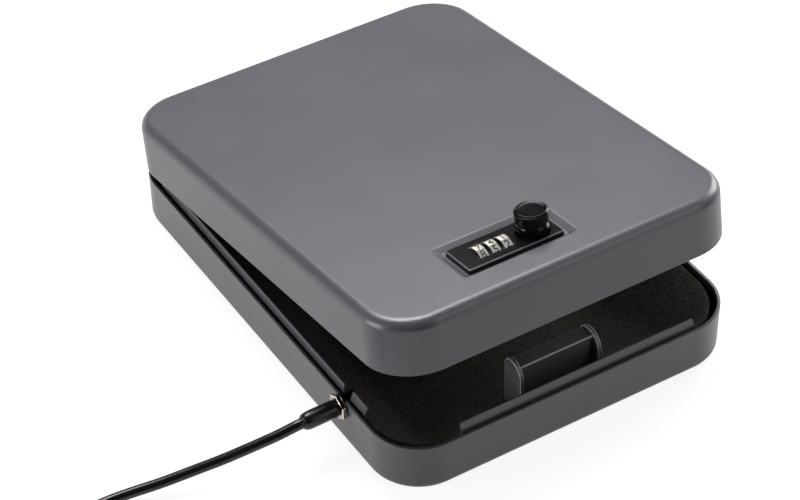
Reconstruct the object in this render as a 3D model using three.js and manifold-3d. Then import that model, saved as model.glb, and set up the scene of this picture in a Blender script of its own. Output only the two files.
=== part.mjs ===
// Portable car safe: a shallow pressed steel box with a hinged lid, a three-dial
// combination lock with a turning knob, and a steel tether with a looped end.
// Millimetres, +X right, +Y towards the hinge, +Z up. The origin is the centre of the underside.

import * as THREE from 'three';
import { mergeVertices } from 'three/addons/utils/BufferGeometryUtils.js';
import Module from 'manifold-3d';

const wasm = await Module();
wasm.setup();

// Case
const CASE_WIDTH = 178;
const CASE_LENGTH = 241;
const BASE_HEIGHT = 25;
const LID_HEIGHT = 25.8;
const SHEET = 1.5;
const CORNER_RADIUS = 24;
const BASE_FILLET = 4;
const LID_FILLET = 5;
const WALL_DRAFT = 0.2;

// Clearances
const FIT = 0.3;
const RUNNING = 0.6;

// Hinge
const LID_ANGLE = THREE.MathUtils.degToRad(9.44);
const HINGE_SETBACK = 2.5;
const HINGE_BARREL_RADIUS = 2.2;
const HINGE_PIN_RADIUS = 1.2;
const HINGE_LENGTH = 120;
const HINGE_KNUCKLES = 5;
const LEAF_THICKNESS = 1.2;
const LEAF_HEIGHT = 14;
const LEAF_TAB_DROP = 0.9;

// Anti-pry flanges
const FLANGE_THICKNESS = 1;
const FLANGE_STANDOFF = 2.1;
const FLANGE_RISE = 3.5;
const FLANGE_DEPTH = 15;
const FLANGE_WELD_HEIGHT = 6;
const FLANGE_JOGGLE = 2.5;
const FLANGE_END_RADIUS = 1.3;
const FLANGE_FRONT_LEFT_GAP = 8.3;
const FLANGE_FRONT_RIGHT_GAP = 0.5;
const FLANGE_LEFT_FRONT_GAP = 9.2;
const FLANGE_RIGHT_FRONT_GAP = 26;
const FLANGE_REAR_GAP = 2;

// Foam
const FLOOR_FOAM = 5;
const WALL_FOAM = 5;
const WALL_FOAM_CORNER = 28;
const WALL_FOAM_BELOW_RIM = 2.8;
const LID_FOAM = 7;
const FOAM_EASE = 0.5;

// Lock position and face plate
const LOCK_SETBACK = 29.7;
const KNOB_X = 0.5;
const PLATE_WIDTH = 19.4;
const PLATE_THICKNESS = 1.8;
const PLATE_END_MARGIN = 1.5;
const PLATE_CORNER = 0.8;
const POCKET_DEPTH = 1.6;
const POCKET_LEFT = 3.6;
const POCKET_RIGHT = 4.6;
const POCKET_FRONT = 2;
const POCKET_BACK = 4.4;
const POCKET_SLOPE = 2;
const POCKET_CORNER = 1.8;

// Dials
const DIAL_COUNT = 3;
const DIAL_PITCH = 6.1;
const DIAL_FROM_KNOB = 20.8;
const DIAL_BEHIND_KNOB = 0.4;
const DIAL_RADIUS = 7;
const DIAL_WIDTH = 4.3;
const DIAL_RISE = 1.9;
const DIAL_FACES = 10;
const DIAL_GROOVE = 0.5;
const DIAL_BORE_RADIUS = 3.4;
const DIAL_AXLE_RADIUS = 1.2;
const SLEEVE_FLANGE_RADIUS = 4.6;
const SLEEVE_FLANGE = 0.9;
const SLEEVE_NOTCH = 1.6;

// Lock housing
const HOUSING_WALL = 1.3;
const HOUSING_FLOOR = 1.3;
const RIB_THICKNESS = 1.4;
const BOSS_RADIUS = 1.9;
const SCREW_RADIUS = 1;
const SCREW_HEAD_RADIUS = 2.1;
const SCREW_HEAD_HEIGHT = 1.4;
const DETENT_THICKNESS = 0.4;
const GATE_THICKNESS = 1.2;
const GATE_HALF_WIDTH = 2.2;
const GATE_SPRING_RADIUS = 1.1;
const GATE_SPRING_WIRE = 0.25;
const GATE_SPRING_TURNS = 5;

// Knob, spindle and cam
const KNOB_COLLAR_RADIUS = 7.8;
const KNOB_WAIST_RADIUS = 6.1;
const KNOB_CAP_RADIUS = 7.6;
const KNOB_ROUNDING = 0.3;
const KNOB_COLLAR_EDGE = 1;
const KNOB_WAIST_LEVEL = 4;
const KNOB_CAP_BOTTOM = 5.6;
const KNOB_CAP_EDGE = 7.7;
const KNOB_HEIGHT = 9;
const KNOB_DISH_RADIUS = 5.9;
const KNOB_DISH_DEPTH = 0.4;
const SPINDLE_RADIUS = 3;
const SPINDLE_TUBE_WALL = 1.4;
const SPINDLE_DISC_RADIUS = 6.4;
const WASHER_THICKNESS = 0.6;
const CAM_THICKNESS = 1.6;
const CAM_REACH = 11.7;
const CAM_HALF_WIDTH = 3;
const CAM_HUB_RADIUS = 4.2;
const CAM_SQUARE = 3.4;
const RESET_LENGTH = 13;
const RESET_HALF_WIDTH = 2.2;
const RESET_THICKNESS = 1;

// Strike bracket
const STRIKE_WIDTH = 41.5;
const STRIKE_RISE = 6.8;
const STRIKE_PLATE_DEPTH = 7.4;
const STRIKE_THICKNESS = 1.6;
const STRIKE_CHEEK = 2;
const STRIKE_CHEEK_RISE = 1.5;
const STRIKE_CHEEK_FRONT = 4.4;
const STRIKE_CHEEK_BACK = 2.3;
const STRIKE_FOOT = 16;

// Tether
const CABLE_RADIUS = 2.4;
const TETHER_SETBACK = 47.7;
const TETHER_BELOW_RIM = 4.5;
const TETHER_DROOP = THREE.MathUtils.degToRad(1.5);
const NECK_RADIUS = 2.5;
const NECK_CLEARANCE = 0.35;
const ANCHOR_HEAD_RADIUS = 4.6;
const ANCHOR_HEAD = 1.8;
const NUT_ACROSS_FLATS = 10.8;
const NUT_THICKNESS = 2.3;
const CABLE_SLEEVE_RADIUS = 4;
const CABLE_SLEEVE_LENGTH = 16.5;
const COIL_X = -228;
const COIL_Y = -95;
const COIL_TURN_RADIUS = 27.5;
const COIL_TURNS_ACROSS = 3;
const COIL_LAYERS = 2;
const COIL_LIFT = 1;
const STRAIGHT_LEAD = 2.5;
const TIE_THICKNESS = 0.6;
const TIE_WIDTH = 8;
const TIE_ANGLE = THREE.MathUtils.degToRad(300);
const FERRULE_LENGTH = 16;
const FERRULE_WALL = 1;
const EYE_LENGTH = 46;
const EYE_WIDTH = 26;

// Where the tether runs: free stretch from the sleeve to the coil, then from the coil to the
// ferrule, and the loop of the eye after it. Chosen by hand.
const LEAD_POINTS = [
  [-114, -72.4, 19.2], [-120, -71.5, 17.7], [-127, -69.9, 15.8], [-135, -67.9, 13.6], [-144, -65.5, 11.1],
  [-153, -62.9, 8.9], [-162, -60.6, 7], [-171, -58.3, 5.3], [-180, -55.9, 4],
  [-188, -54.3, 3.2], [-196, -53.6, 2.8], [-204, -53.8, 2.7], [-212.5, -55.2, 2.9],
  [-221.8, -58.1, 3.4],
];
const TAIL_POINTS = [[-260.5, -113.8, 7.6], [-259, -124, 5.4], [-255, -133, 4], [-249.5, -141, 3.6]];

// Values that follow from the ones above
const REAR = CASE_LENGTH / 2;
const FRONT = -REAR;
const SIDE = CASE_WIDTH / 2;
const HINGE_Y = REAR + HINGE_SETBACK;
const INNER_SIDE = SIDE - SHEET;
const INNER_FRONT = FRONT + SHEET;
const INNER_REAR = REAR - SHEET;
const LOCK_Y = FRONT + LOCK_SETBACK;
const DIAL_Y = LOCK_Y + DIAL_BEHIND_KNOB;
const POCKET_FLOOR = LID_HEIGHT - POCKET_DEPTH;
const PLATE_BOTTOM = POCKET_FLOOR + FIT;
const PLATE_TOP = PLATE_BOTTOM + PLATE_THICKNESS;
const DIAL_Z = PLATE_TOP + DIAL_RISE - DIAL_RADIUS;
const DIAL_MIDDLE = KNOB_X - DIAL_FROM_KNOB;
const DIAL_FIRST = DIAL_MIDDLE - DIAL_PITCH * (DIAL_COUNT - 1) / 2;
const DIAL_LAST = DIAL_FIRST + DIAL_PITCH * (DIAL_COUNT - 1);
const RIB_LEFT = DIAL_FIRST - DIAL_WIDTH / 2 - FIT;
const SLEEVE_END = DIAL_WIDTH / 2 + FIT + SLEEVE_FLANGE;
const RIB_RIGHT = DIAL_LAST + SLEEVE_END + FIT;
const HOUSING_TOP = POCKET_FLOOR - SHEET - FIT;
const GATE_TOP = DIAL_Z - DIAL_RADIUS - FIT;
const GATE_BOTTOM = GATE_TOP - GATE_THICKNESS;
const HOUSING_FLOOR_TOP = GATE_BOTTOM - FIT;
const HOUSING_BOTTOM = HOUSING_FLOOR_TOP - HOUSING_FLOOR;
const HOUSING_IN_LEFT = RIB_LEFT - RIB_THICKNESS - FIT - BOSS_RADIUS * 2 - FIT;
const HOUSING_IN_RIGHT = KNOB_X + SPINDLE_DISC_RADIUS + RUNNING;
const HOUSING_IN_FRONT = DIAL_Y - DIAL_RADIUS - FIT - DETENT_THICKNESS - FIT;
const HOUSING_IN_BACK = DIAL_Y + DIAL_RADIUS + RUNNING;
const HOUSING_LEFT = HOUSING_IN_LEFT - HOUSING_WALL;
const HOUSING_RIGHT = HOUSING_IN_RIGHT + HOUSING_WALL;
const HOUSING_FRONT = HOUSING_IN_FRONT - HOUSING_WALL;
const HOUSING_BACK = HOUSING_IN_BACK + HOUSING_WALL;
const PLATE_LEFT = HOUSING_LEFT - PLATE_END_MARGIN;
const PLATE_RIGHT = HOUSING_RIGHT + PLATE_END_MARGIN;
const TUBE_RADIUS = SPINDLE_RADIUS + FIT + SPINDLE_TUBE_WALL;
const STRIKE_TOP = BASE_HEIGHT + STRIKE_RISE;
const STRIKE_FRONT = LOCK_Y - CAM_REACH - FIT - STRIKE_THICKNESS - FIT;
const STRIKE_BACK = STRIKE_FRONT + STRIKE_PLATE_DEPTH;
const CAM_TOP = STRIKE_TOP - STRIKE_THICKNESS - RUNNING - BASE_HEIGHT;
const CAM_BOTTOM = CAM_TOP - CAM_THICKNESS;
const KNOB_BOTTOM = PLATE_TOP + WASHER_THICKNESS + FIT * 2;
const TETHER_Y = FRONT + TETHER_SETBACK;
const TETHER_Z = BASE_HEIGHT - TETHER_BELOW_RIM;
const CABLE_PAST_WALL = FIT + NUT_THICKNESS + FIT;
const COIL_HALF_WIDTH = CABLE_RADIUS * COIL_TURNS_ACROSS;
const COIL_HEIGHT = 2 * CABLE_RADIUS * COIL_LAYERS;
const FERRULE_HALF_HEIGHT = CABLE_RADIUS + FERRULE_WALL;

// Finishes
const finish = (color, roughness, metalness) => new THREE.MeshStandardMaterial({ color, roughness, metalness });
const POWDER_COAT = finish(0x6f7177, 0.55, 0.3);
const BLACK_COAT = finish(0x1d1e20, 0.4, 0.3);
const FOAM = finish(0x1c1b1a, 0.95, 0);
const ZINC = finish(0x2b2c2f, 0.35, 0.6);
const STEEL = finish(0x9a9b9c, 0.35, 1);
const BRASS = finish(0xb99b5a, 0.3, 1);
const IVORY = finish(0xe4e0d2, 0.45, 0);
const GLOSS_BLACK = finish(0x101011, 0.15, 0);
const VINYL = finish(0x151515, 0.35, 0);

// Booleans: a closed geometry becomes a solid, and the result a geometry again.
function toSolid(geometry) {
  const bare = geometry.clone();
  bare.deleteAttribute('normal');
  bare.deleteAttribute('uv');
  const merged = mergeVertices(bare, 1e-4);
  const kept = [];
  for (let i = 0; i < merged.index.count; i += 3) {
    const [a, b, c] = [0, 1, 2].map((k) => merged.index.getX(i + k));
    if (a !== b && b !== c && c !== a) kept.push(a, b, c);
  }
  return new wasm.Manifold(new wasm.Mesh({
    numProp: 3,
    vertProperties: new Float32Array(merged.attributes.position.array),
    triVerts: new Uint32Array(kept),
  }));
}

function toGeometry(solid) {
  const { numProp, vertProperties, triVerts } = solid.getMesh();
  const points = new Float32Array(vertProperties.length / numProp * 3);
  for (let i = 0; i < points.length / 3; i += 1) {
    for (let k = 0; k < 3; k += 1) points[3 * i + k] = vertProperties[numProp * i + k];
  }
  const geometry = new THREE.BufferGeometry();
  geometry.setAttribute('position', new THREE.BufferAttribute(points, 3));
  geometry.setIndex(new THREE.BufferAttribute(new Uint32Array(triVerts), 1));
  return geometry;
}

function join(...parts) {
  return toGeometry(parts.map(toSolid).reduce((a, b) => a.add(b)));
}

function cut(body, ...tools) {
  return toGeometry(tools.map(toSolid).reduce((a, b) => a.subtract(b), toSolid(body)));
}

// Shapes
function box(x0, x1, y0, y1, z0, z1) {
  const geometry = new THREE.BoxGeometry(x1 - x0, y1 - y0, z1 - z0);
  return geometry.translate((x0 + x1) / 2, (y0 + y1) / 2, (z0 + z1) / 2);
}

function outline(points) {
  return new THREE.Shape(points.map(([u, v]) => new THREE.Vector2(u, v)));
}

function upright(shape, z0, z1) {
  return new THREE.ExtrudeGeometry(shape, { depth: z1 - z0, bevelEnabled: false }).translate(0, 0, z0);
}

// A section drawn in (y, z), running along X.
function alongX(shape, x0, x1) {
  const turn = new THREE.Matrix4().set(0, 0, 1, x0, 1, 0, 0, 0, 0, 1, 0, 0, 0, 0, 0, 1);
  return new THREE.ExtrudeGeometry(shape, { depth: x1 - x0, bevelEnabled: false }).applyMatrix4(turn);
}

// A section drawn in (x, z), running along Y.
function alongY(shape, y0, y1) {
  const turn = new THREE.Matrix4().set(1, 0, 0, 0, 0, 0, -1, y1, 0, 1, 0, 0, 0, 0, 0, 1);
  return new THREE.ExtrudeGeometry(shape, { depth: y1 - y0, bevelEnabled: false }).applyMatrix4(turn);
}

function discShape(radius, sides) {
  const points = [];
  for (let i = 0; i < sides; i += 1) {
    const a = 2 * Math.PI * i / sides;
    points.push([radius * Math.cos(a), radius * Math.sin(a)]);
  }
  return outline(points);
}

function post(x, y, radius, z0, z1, sides = 20) {
  return upright(discShape(radius, sides), z0, z1).translate(x, y, 0);
}

// A rod along X with its axis at (y, z).
function rod(y, z, radius, x0, x1, sides = 20) {
  return alongX(discShape(radius, sides), x0, x1).translate(0, y, z);
}

// A profile of [radius, z] pairs turned about the Z axis.
function turned(profile, sides = 32) {
  const points = profile.map(([r, z]) => new THREE.Vector2(r, z));
  return new THREE.LatheGeometry(points, sides).rotateX(Math.PI / 2);
}

// Angles that divide a quarter turn into equal steps
function quarterSteps(count) {
  return Array.from({ length: count + 1 }, (_, i) => Math.PI / 2 * i / count);
}

function roundedRect(x0, x1, y0, y1, radius, steps) {
  const points = [];
  const corners = [[x1, y1, 0], [x0, y1, 1], [x0, y0, 2], [x1, y0, 3]];
  for (const [x, y, quarter] of corners) {
    const cx = x + (quarter === 1 || quarter === 2 ? radius : -radius);
    const cy = y + (quarter >= 2 ? radius : -radius);
    for (let i = 0; i <= steps; i += 1) {
      const a = Math.PI / 2 * (quarter + i / steps);
      points.push([cx + radius * Math.cos(a), cy + radius * Math.sin(a)]);
    }
  }
  return points;
}

// Skins a stack of outlines with equal point counts, and closes both ends.
function loft(rings) {
  const count = rings[0].points.length;
  const positions = rings.flatMap(({ points, z }) => points.flatMap(([x, y]) => [x, y, z]));
  const faces = [];
  for (let r = 0; r + 1 < rings.length; r += 1) {
    for (let i = 0; i < count; i += 1) {
      const a = r * count + i;
      const b = r * count + (i + 1) % count;
      faces.push(a, b, b + count, a, b + count, a + count);
    }
  }
  const top = (rings.length - 1) * count;
  for (let i = 1; i + 1 < count; i += 1) {
    faces.push(0, i + 1, i, top, top + i, top + i + 1);
  }
  const geometry = new THREE.BufferGeometry();
  geometry.setAttribute('position', new THREE.Float32BufferAttribute(positions, 3));
  geometry.setIndex(faces);
  return geometry;
}

// Plan outline of the case, moved inwards by inset.
function casePlan(inset, steps = 8) {
  const radius = Math.max(CORNER_RADIUS - inset, 1);
  return roundedRect(-SIDE + inset, SIDE - inset, FRONT + inset, REAR - inset, radius, steps);
}

// Solid block of the case's plan with one rounded end at z = closed, the other open at z = open.
function caseBlock(inset, closed, open, fillet) {
  const towards = Math.sign(open - closed);
  const rings = [];
  for (const a of quarterSteps(4)) {
    rings.push({
      points: casePlan(inset + WALL_DRAFT + fillet * (1 - Math.sin(a))),
      z: closed + towards * fillet * (1 - Math.cos(a)),
    });
  }
  rings.push({ points: casePlan(inset), z: open });
  return loft(towards > 0 ? rings : rings.reverse());
}

const root = new THREE.Group();

// The lid's frame has z = 0 on the rim plane, and turns about the hinge axis.
const lidTurn = new THREE.Group();
lidTurn.position.set(0, HINGE_Y, BASE_HEIGHT);
lidTurn.rotation.x = -LID_ANGLE;
root.add(lidTurn);
const lid = new THREE.Group();
lid.position.set(0, -HINGE_Y, 0);
lidTurn.add(lid);

// The anchor end of the tether droops a little where it sits in its notch.
const tether = new THREE.Group();
tether.position.set(-SIDE, TETHER_Y, TETHER_Z);
tether.rotation.y = -TETHER_DROOP;
root.add(tether);

function add(parent, name, geometry, material) {
  geometry.computeVertexNormals();
  const mesh = new THREE.Mesh(geometry, material);
  mesh.name = name;
  parent.add(mesh);
  return mesh;
}

// Hinge
const knuckleLength = (HINGE_LENGTH - RUNNING * (HINGE_KNUCKLES - 1)) / HINGE_KNUCKLES;

function knuckleSpan(index) {
  const start = -HINGE_LENGTH / 2 + index * (knuckleLength + RUNNING);
  return [start, start + knuckleLength];
}

// One leaf: knuckles on the barrel axis, a tab from each through the rim, and the plate inside the wall.
function hingeLeaf(indexes, side, axisZ) {
  const plateY = INNER_REAR - FIT;
  const tab = [axisZ + side * LEAF_TAB_DROP, axisZ + side * (LEAF_TAB_DROP + LEAF_THICKNESS)];
  const tabZ = [Math.min(...tab), Math.max(...tab)];
  const far = axisZ + side * LEAF_HEIGHT;
  const plate = box(-HINGE_LENGTH / 2, HINGE_LENGTH / 2, plateY - LEAF_THICKNESS, plateY,
    Math.min(far, tab[0]), Math.max(far, tab[0]));
  const parts = [plate];
  for (const index of indexes) {
    const [x0, x1] = knuckleSpan(index);
    parts.push(box(x0, x1, plateY - LEAF_THICKNESS, HINGE_Y, ...tabZ));
    parts.push(rod(HINGE_Y, axisZ, HINGE_BARREL_RADIUS, x0, x1, 24));
  }
  const bore = rod(HINGE_Y, axisZ, HINGE_PIN_RADIUS + FIT, -HINGE_LENGTH, HINGE_LENGTH, 16);
  return cut(join(...parts), bore);
}

// Slots in a rear rim where the leaf's tabs pass through.
function hingeSlots(indexes, side, rimZ) {
  const depth = LEAF_TAB_DROP + LEAF_THICKNESS + FIT;
  const z = [rimZ - side * SHEET, rimZ + side * depth];
  return indexes.map((index) => {
    const [x0, x1] = knuckleSpan(index);
    return box(x0 - FIT, x1 + FIT, INNER_REAR - SHEET, REAR + SHEET, Math.min(...z), Math.max(...z));
  });
}

const BASE_KNUCKLES = [...Array(HINGE_KNUCKLES).keys()].filter((i) => i % 2 === 0);
const LID_KNUCKLES = [...Array(HINGE_KNUCKLES).keys()].filter((i) => i % 2 === 1);

function hingePin() {
  const end = HINGE_LENGTH / 2;
  const shaft = rod(HINGE_Y, BASE_HEIGHT, HINGE_PIN_RADIUS, -end - FIT * 2, end + FIT * 2, 16);
  const headRadius = HINGE_PIN_RADIUS + FIT * 2;
  const heads = [-1, 1].map((s) => {
    const x = [s * (end + FIT), s * (end + FIT + SHEET / 2)];
    return rod(HINGE_Y, BASE_HEIGHT, headRadius, Math.min(...x), Math.max(...x), 16);
  });
  return join(shaft, ...heads);
}

// Base tray
function baseShell() {
  const outer = caseBlock(0, 0, BASE_HEIGHT, BASE_FILLET);
  const inner = caseBlock(SHEET, SHEET, BASE_HEIGHT + SHEET, BASE_FILLET - SHEET);
  const across = [-SIDE - SHEET, -INNER_SIDE + SHEET];
  const notch = join(
    rod(TETHER_Y, TETHER_Z, NOTCH_HALF, ...across, 24),
    box(...across, TETHER_Y - NOTCH_HALF, TETHER_Y + NOTCH_HALF, TETHER_Z, BASE_HEIGHT + SHEET),
  );
  return cut(outer, inner, notch, ...hingeSlots(BASE_KNUCKLES, -1, BASE_HEIGHT));
}

// Section of an anti-pry flange: u runs inwards from the wall's inner face.
function flangeSection() {
  const top = BASE_HEIGHT + FLANGE_RISE;
  const weldTop = BASE_HEIGHT - FLANGE_DEPTH + FLANGE_WELD_HEIGHT;
  const bendTop = weldTop + FLANGE_JOGGLE;
  const [u0, u1] = [FIT, FIT + FLANGE_THICKNESS];
  const [v0, v1] = [FLANGE_STANDOFF, FLANGE_STANDOFF + FLANGE_THICKNESS];
  return [
    [u0, BASE_HEIGHT - FLANGE_DEPTH], [u1, BASE_HEIGHT - FLANGE_DEPTH], [u1, weldTop],
    [v1, bendTop], [v1, top - FIT], [v1 - FIT, top], [v0 + FIT, top], [v0, top - FIT],
    [v0, bendTop], [u0, weldTop],
  ];
}

// Rounds the two upper corners of a flange that runs from a to b.
function flangeEnds(a, b) {
  const top = BASE_HEIGHT + FLANGE_RISE;
  const points = [[a, 0], [b, 0]];
  for (const [end, sign, from] of [[b, 1, 0], [a, -1, Math.PI / 2]]) {
    for (const t of quarterSteps(5).map((quarter) => from + quarter)) {
      points.push([
        end - sign * FLANGE_END_RADIUS + FLANGE_END_RADIUS * Math.cos(t),
        top - FLANGE_END_RADIUS + FLANGE_END_RADIUS * Math.sin(t),
      ]);
    }
  }
  return outline(points);
}

function frontFlange(a, b) {
  const section = outline(flangeSection().map(([u, z]) => [INNER_FRONT + u, z]));
  const ends = alongY(flangeEnds(a, b), INNER_FRONT, INNER_FRONT + FLANGE_STANDOFF * 2 + FLANGE_THICKNESS);
  return toGeometry(toSolid(alongX(section, a, b)).intersect(toSolid(ends)));
}

function sideFlange(side, a, b) {
  const profile = flangeSection().map(([u, z]) => [side * (INNER_SIDE - u), z]);
  const section = outline(side > 0 ? profile.reverse() : profile);
  const reach = FLANGE_STANDOFF * 2 + FLANGE_THICKNESS;
  const x = [side * INNER_SIDE, side * (INNER_SIDE - reach)];
  const ends = alongX(flangeEnds(a, b), Math.min(...x), Math.max(...x));
  return toGeometry(toSolid(alongY(section, a, b)).intersect(toSolid(ends)));
}

const NOTCH_HALF = NECK_RADIUS + NECK_CLEARANCE;
const FLANGE_REAR = REAR - CORNER_RADIUS - FLANGE_REAR_GAP;
const SIDE_FLANGES = {
  flange_left_front: [-1, FRONT + CORNER_RADIUS + FLANGE_LEFT_FRONT_GAP, TETHER_Y - NOTCH_HALF],
  flange_left_rear: [-1, TETHER_Y + NOTCH_HALF, FLANGE_REAR],
  flange_right: [1, FRONT + CORNER_RADIUS + FLANGE_RIGHT_FRONT_GAP, FLANGE_REAR],
};
const FRONT_FLANGE = [
  -SIDE + CORNER_RADIUS + FLANGE_FRONT_LEFT_GAP,
  SIDE - CORNER_RADIUS - FLANGE_FRONT_RIGHT_GAP,
];

// Foam
function floorFoam() {
  const inset = SHEET + BASE_FILLET;
  const bottom = SHEET + FIT / 2;
  const top = SHEET + FLOOR_FOAM;
  const sheet = loft([
    { points: casePlan(inset, 5), z: bottom },
    { points: casePlan(inset, 5), z: top },
  ]);
  const half = STRIKE_WIDTH / 2 + FOAM_EASE;
  const [x0, x1] = [KNOB_X - half, KNOB_X + half];
  const front = STRIKE_FRONT - STRIKE_CHEEK_FRONT - FOAM_EASE;
  const slot = box(x0, x1, front, STRIKE_BACK + STRIKE_CHEEK_BACK + FOAM_EASE, 0, BASE_HEIGHT);
  const overFoot = box(x0, x1, front, STRIKE_BACK + STRIKE_FOOT + FOAM_EASE, 0,
    bottom + STRIKE_THICKNESS + FIT);
  return cut(sheet, slot, overFoot);
}

function wallFoam() {
  const outer = SHEET + WALL_DRAFT + FIT;
  const inner = outer + WALL_FOAM;
  const bottom = SHEET + FLOOR_FOAM + FIT;
  const ring = (inset, z0, z1) => {
    const radius = WALL_FOAM_CORNER + outer - inset;
    const points = roundedRect(-SIDE + inset, SIDE - inset, FRONT + inset, REAR - inset, radius, 6);
    return loft([{ points, z: z0 }, { points, z: z1 }]);
  };
  const band = cut(ring(outer, bottom, BASE_HEIGHT - WALL_FOAM_BELOW_RIM), ring(inner, 0, BASE_HEIGHT));
  const behind = FLANGE_STANDOFF + FLANGE_THICKNESS + FIT;
  const frontPocket = box(FRONT_FLANGE[0] - FIT, FRONT_FLANGE[1] + FIT, FRONT, INNER_FRONT + behind,
    BASE_HEIGHT - FLANGE_DEPTH - FIT, BASE_HEIGHT);
  const sidePockets = Object.values(SIDE_FLANGES).map(([side, a, b]) => {
    const x = [side * SIDE, side * (INNER_SIDE - behind)];
    return box(Math.min(...x), Math.max(...x), a - FIT, b + FIT,
      BASE_HEIGHT - FLANGE_DEPTH - FIT, BASE_HEIGHT);
  });
  const headRoom = ANCHOR_HEAD_RADIUS + FOAM_EASE;
  const anchorPocket = box(-SIDE, -INNER_SIDE + WALL_FOAM * 2, TETHER_Y - headRoom, TETHER_Y + headRoom,
    TETHER_Z - headRoom, BASE_HEIGHT);
  const hingePocket = box(-HINGE_LENGTH / 2 - FIT, HINGE_LENGTH / 2 + FIT,
    INNER_REAR - FIT * 2 - LEAF_THICKNESS, REAR, BASE_HEIGHT - LEAF_HEIGHT - FIT, BASE_HEIGHT);
  return cut(band, frontPocket, ...sidePockets, anchorPocket, hingePocket);
}

// Strike bracket: foot, closed front, top plate and a rounded cheek at each end. The cheek's arc
// is drawn in shares of its depth.
function strikeCheek() {
  const front = STRIKE_FRONT - STRIKE_CHEEK_FRONT;
  const back = STRIKE_BACK + STRIKE_CHEEK_BACK;
  const top = STRIKE_TOP + STRIKE_CHEEK_RISE;
  const foot = SHEET + FIT / 2;
  const depth = back - front;
  const shoulder = top - depth * 0.5;
  const apex = front + depth * 0.54;
  const profile = new THREE.Shape();
  profile.moveTo(front, foot);
  profile.lineTo(back, foot);
  profile.lineTo(back, top - STRIKE_CHEEK_BACK * 2);
  profile.quadraticCurveTo(back - depth * 0.06, top, apex, top);
  profile.bezierCurveTo(apex - depth * 0.28, top, front, shoulder + depth * 0.3, front, shoulder);
  profile.closePath();
  return new THREE.Shape(profile.getPoints(8));
}

function strikeBracket() {
  const [x0, x1] = [KNOB_X - STRIKE_WIDTH / 2, KNOB_X + STRIKE_WIDTH / 2];
  const foot = SHEET + FIT / 2;
  const cheek = strikeCheek();
  return join(
    alongX(cheek, x0, x0 + STRIKE_CHEEK),
    alongX(cheek, x1 - STRIKE_CHEEK, x1),
    box(x0, x1, STRIKE_FRONT, STRIKE_BACK, STRIKE_TOP - STRIKE_THICKNESS, STRIKE_TOP),
    box(x0, x1, STRIKE_FRONT, STRIKE_FRONT + STRIKE_THICKNESS, foot, STRIKE_TOP),
    box(x0, x1, STRIKE_FRONT, STRIKE_BACK + STRIKE_FOOT, foot, foot + STRIKE_THICKNESS),
  );
}

// Lid
const POCKET = {
  x0: PLATE_LEFT - POCKET_LEFT,
  x1: PLATE_RIGHT + POCKET_RIGHT,
  y0: LOCK_Y - PLATE_WIDTH / 2 - POCKET_FRONT,
  y1: LOCK_Y + PLATE_WIDTH / 2 + POCKET_BACK,
};

function pocketPlan(inset) {
  const radius = Math.max(POCKET_CORNER - inset / 2, 0.5);
  return roundedRect(POCKET.x0 + inset, POCKET.x1 - inset, POCKET.y0 + inset, POCKET.y1 - inset, radius, 4);
}

// The pressed pocket, as the void above its floor (grow = 0) or the metal below it (grow = SHEET).
function pocketForm(grow) {
  const floor = POCKET_FLOOR - grow;
  const top = LID_HEIGHT - grow;
  const rings = [0, 0.25, 0.5, 0.75, 1].map((t) => ({
    points: pocketPlan(POCKET_SLOPE * (1 - t) - grow),
    z: floor + (top - floor) * t * t * (3 - 2 * t),
  }));
  const cap = grow > 0 ? top + grow / 2 : top + SHEET;
  rings.push({ points: pocketPlan(-grow), z: cap });
  return loft(rings);
}

function lidShell() {
  const outer = caseBlock(0, LID_HEIGHT, 0, LID_FILLET);
  const inner = caseBlock(SHEET, LID_HEIGHT - SHEET, -SHEET, LID_FILLET - SHEET);
  const dish = pocketForm(SHEET);
  const opening = box(HOUSING_IN_LEFT, HOUSING_IN_RIGHT, HOUSING_IN_FRONT, HOUSING_IN_BACK,
    0, LID_HEIGHT + SHEET);
  const hollow = cut(outer, inner);
  return cut(join(hollow, dish), pocketForm(0), opening, ...hingeSlots(LID_KNUCKLES, 1, 0));
}

function lidFoam() {
  const inset = SHEET + WALL_DRAFT + LID_FILLET;
  const top = LID_HEIGHT - SHEET - FIT;
  const sheet = loft([
    { points: casePlan(inset, 5), z: top - LID_FOAM },
    { points: casePlan(inset, 5), z: top },
  ]);
  const ease = SHEET + FOAM_EASE;
  const opening = box(POCKET.x0 - ease, Math.max(POCKET.x1, KNOB_X + CAM_REACH) + ease,
    POCKET.y0 - ease, POCKET.y1 + ease, 0, LID_HEIGHT);
  return cut(sheet, opening);
}

// Lock face plate with its screw bosses and the tube that guides the spindle
const BOSSES = {
  lock_screw_left: [HOUSING_IN_LEFT + FIT + BOSS_RADIUS, HOUSING_IN_FRONT + FIT + BOSS_RADIUS],
  lock_screw_right: [RIB_RIGHT + RIB_THICKNESS + FIT + BOSS_RADIUS, HOUSING_IN_BACK - FIT - BOSS_RADIUS],
};

function dialCentre(index) {
  return DIAL_FIRST + index * DIAL_PITCH;
}

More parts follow.
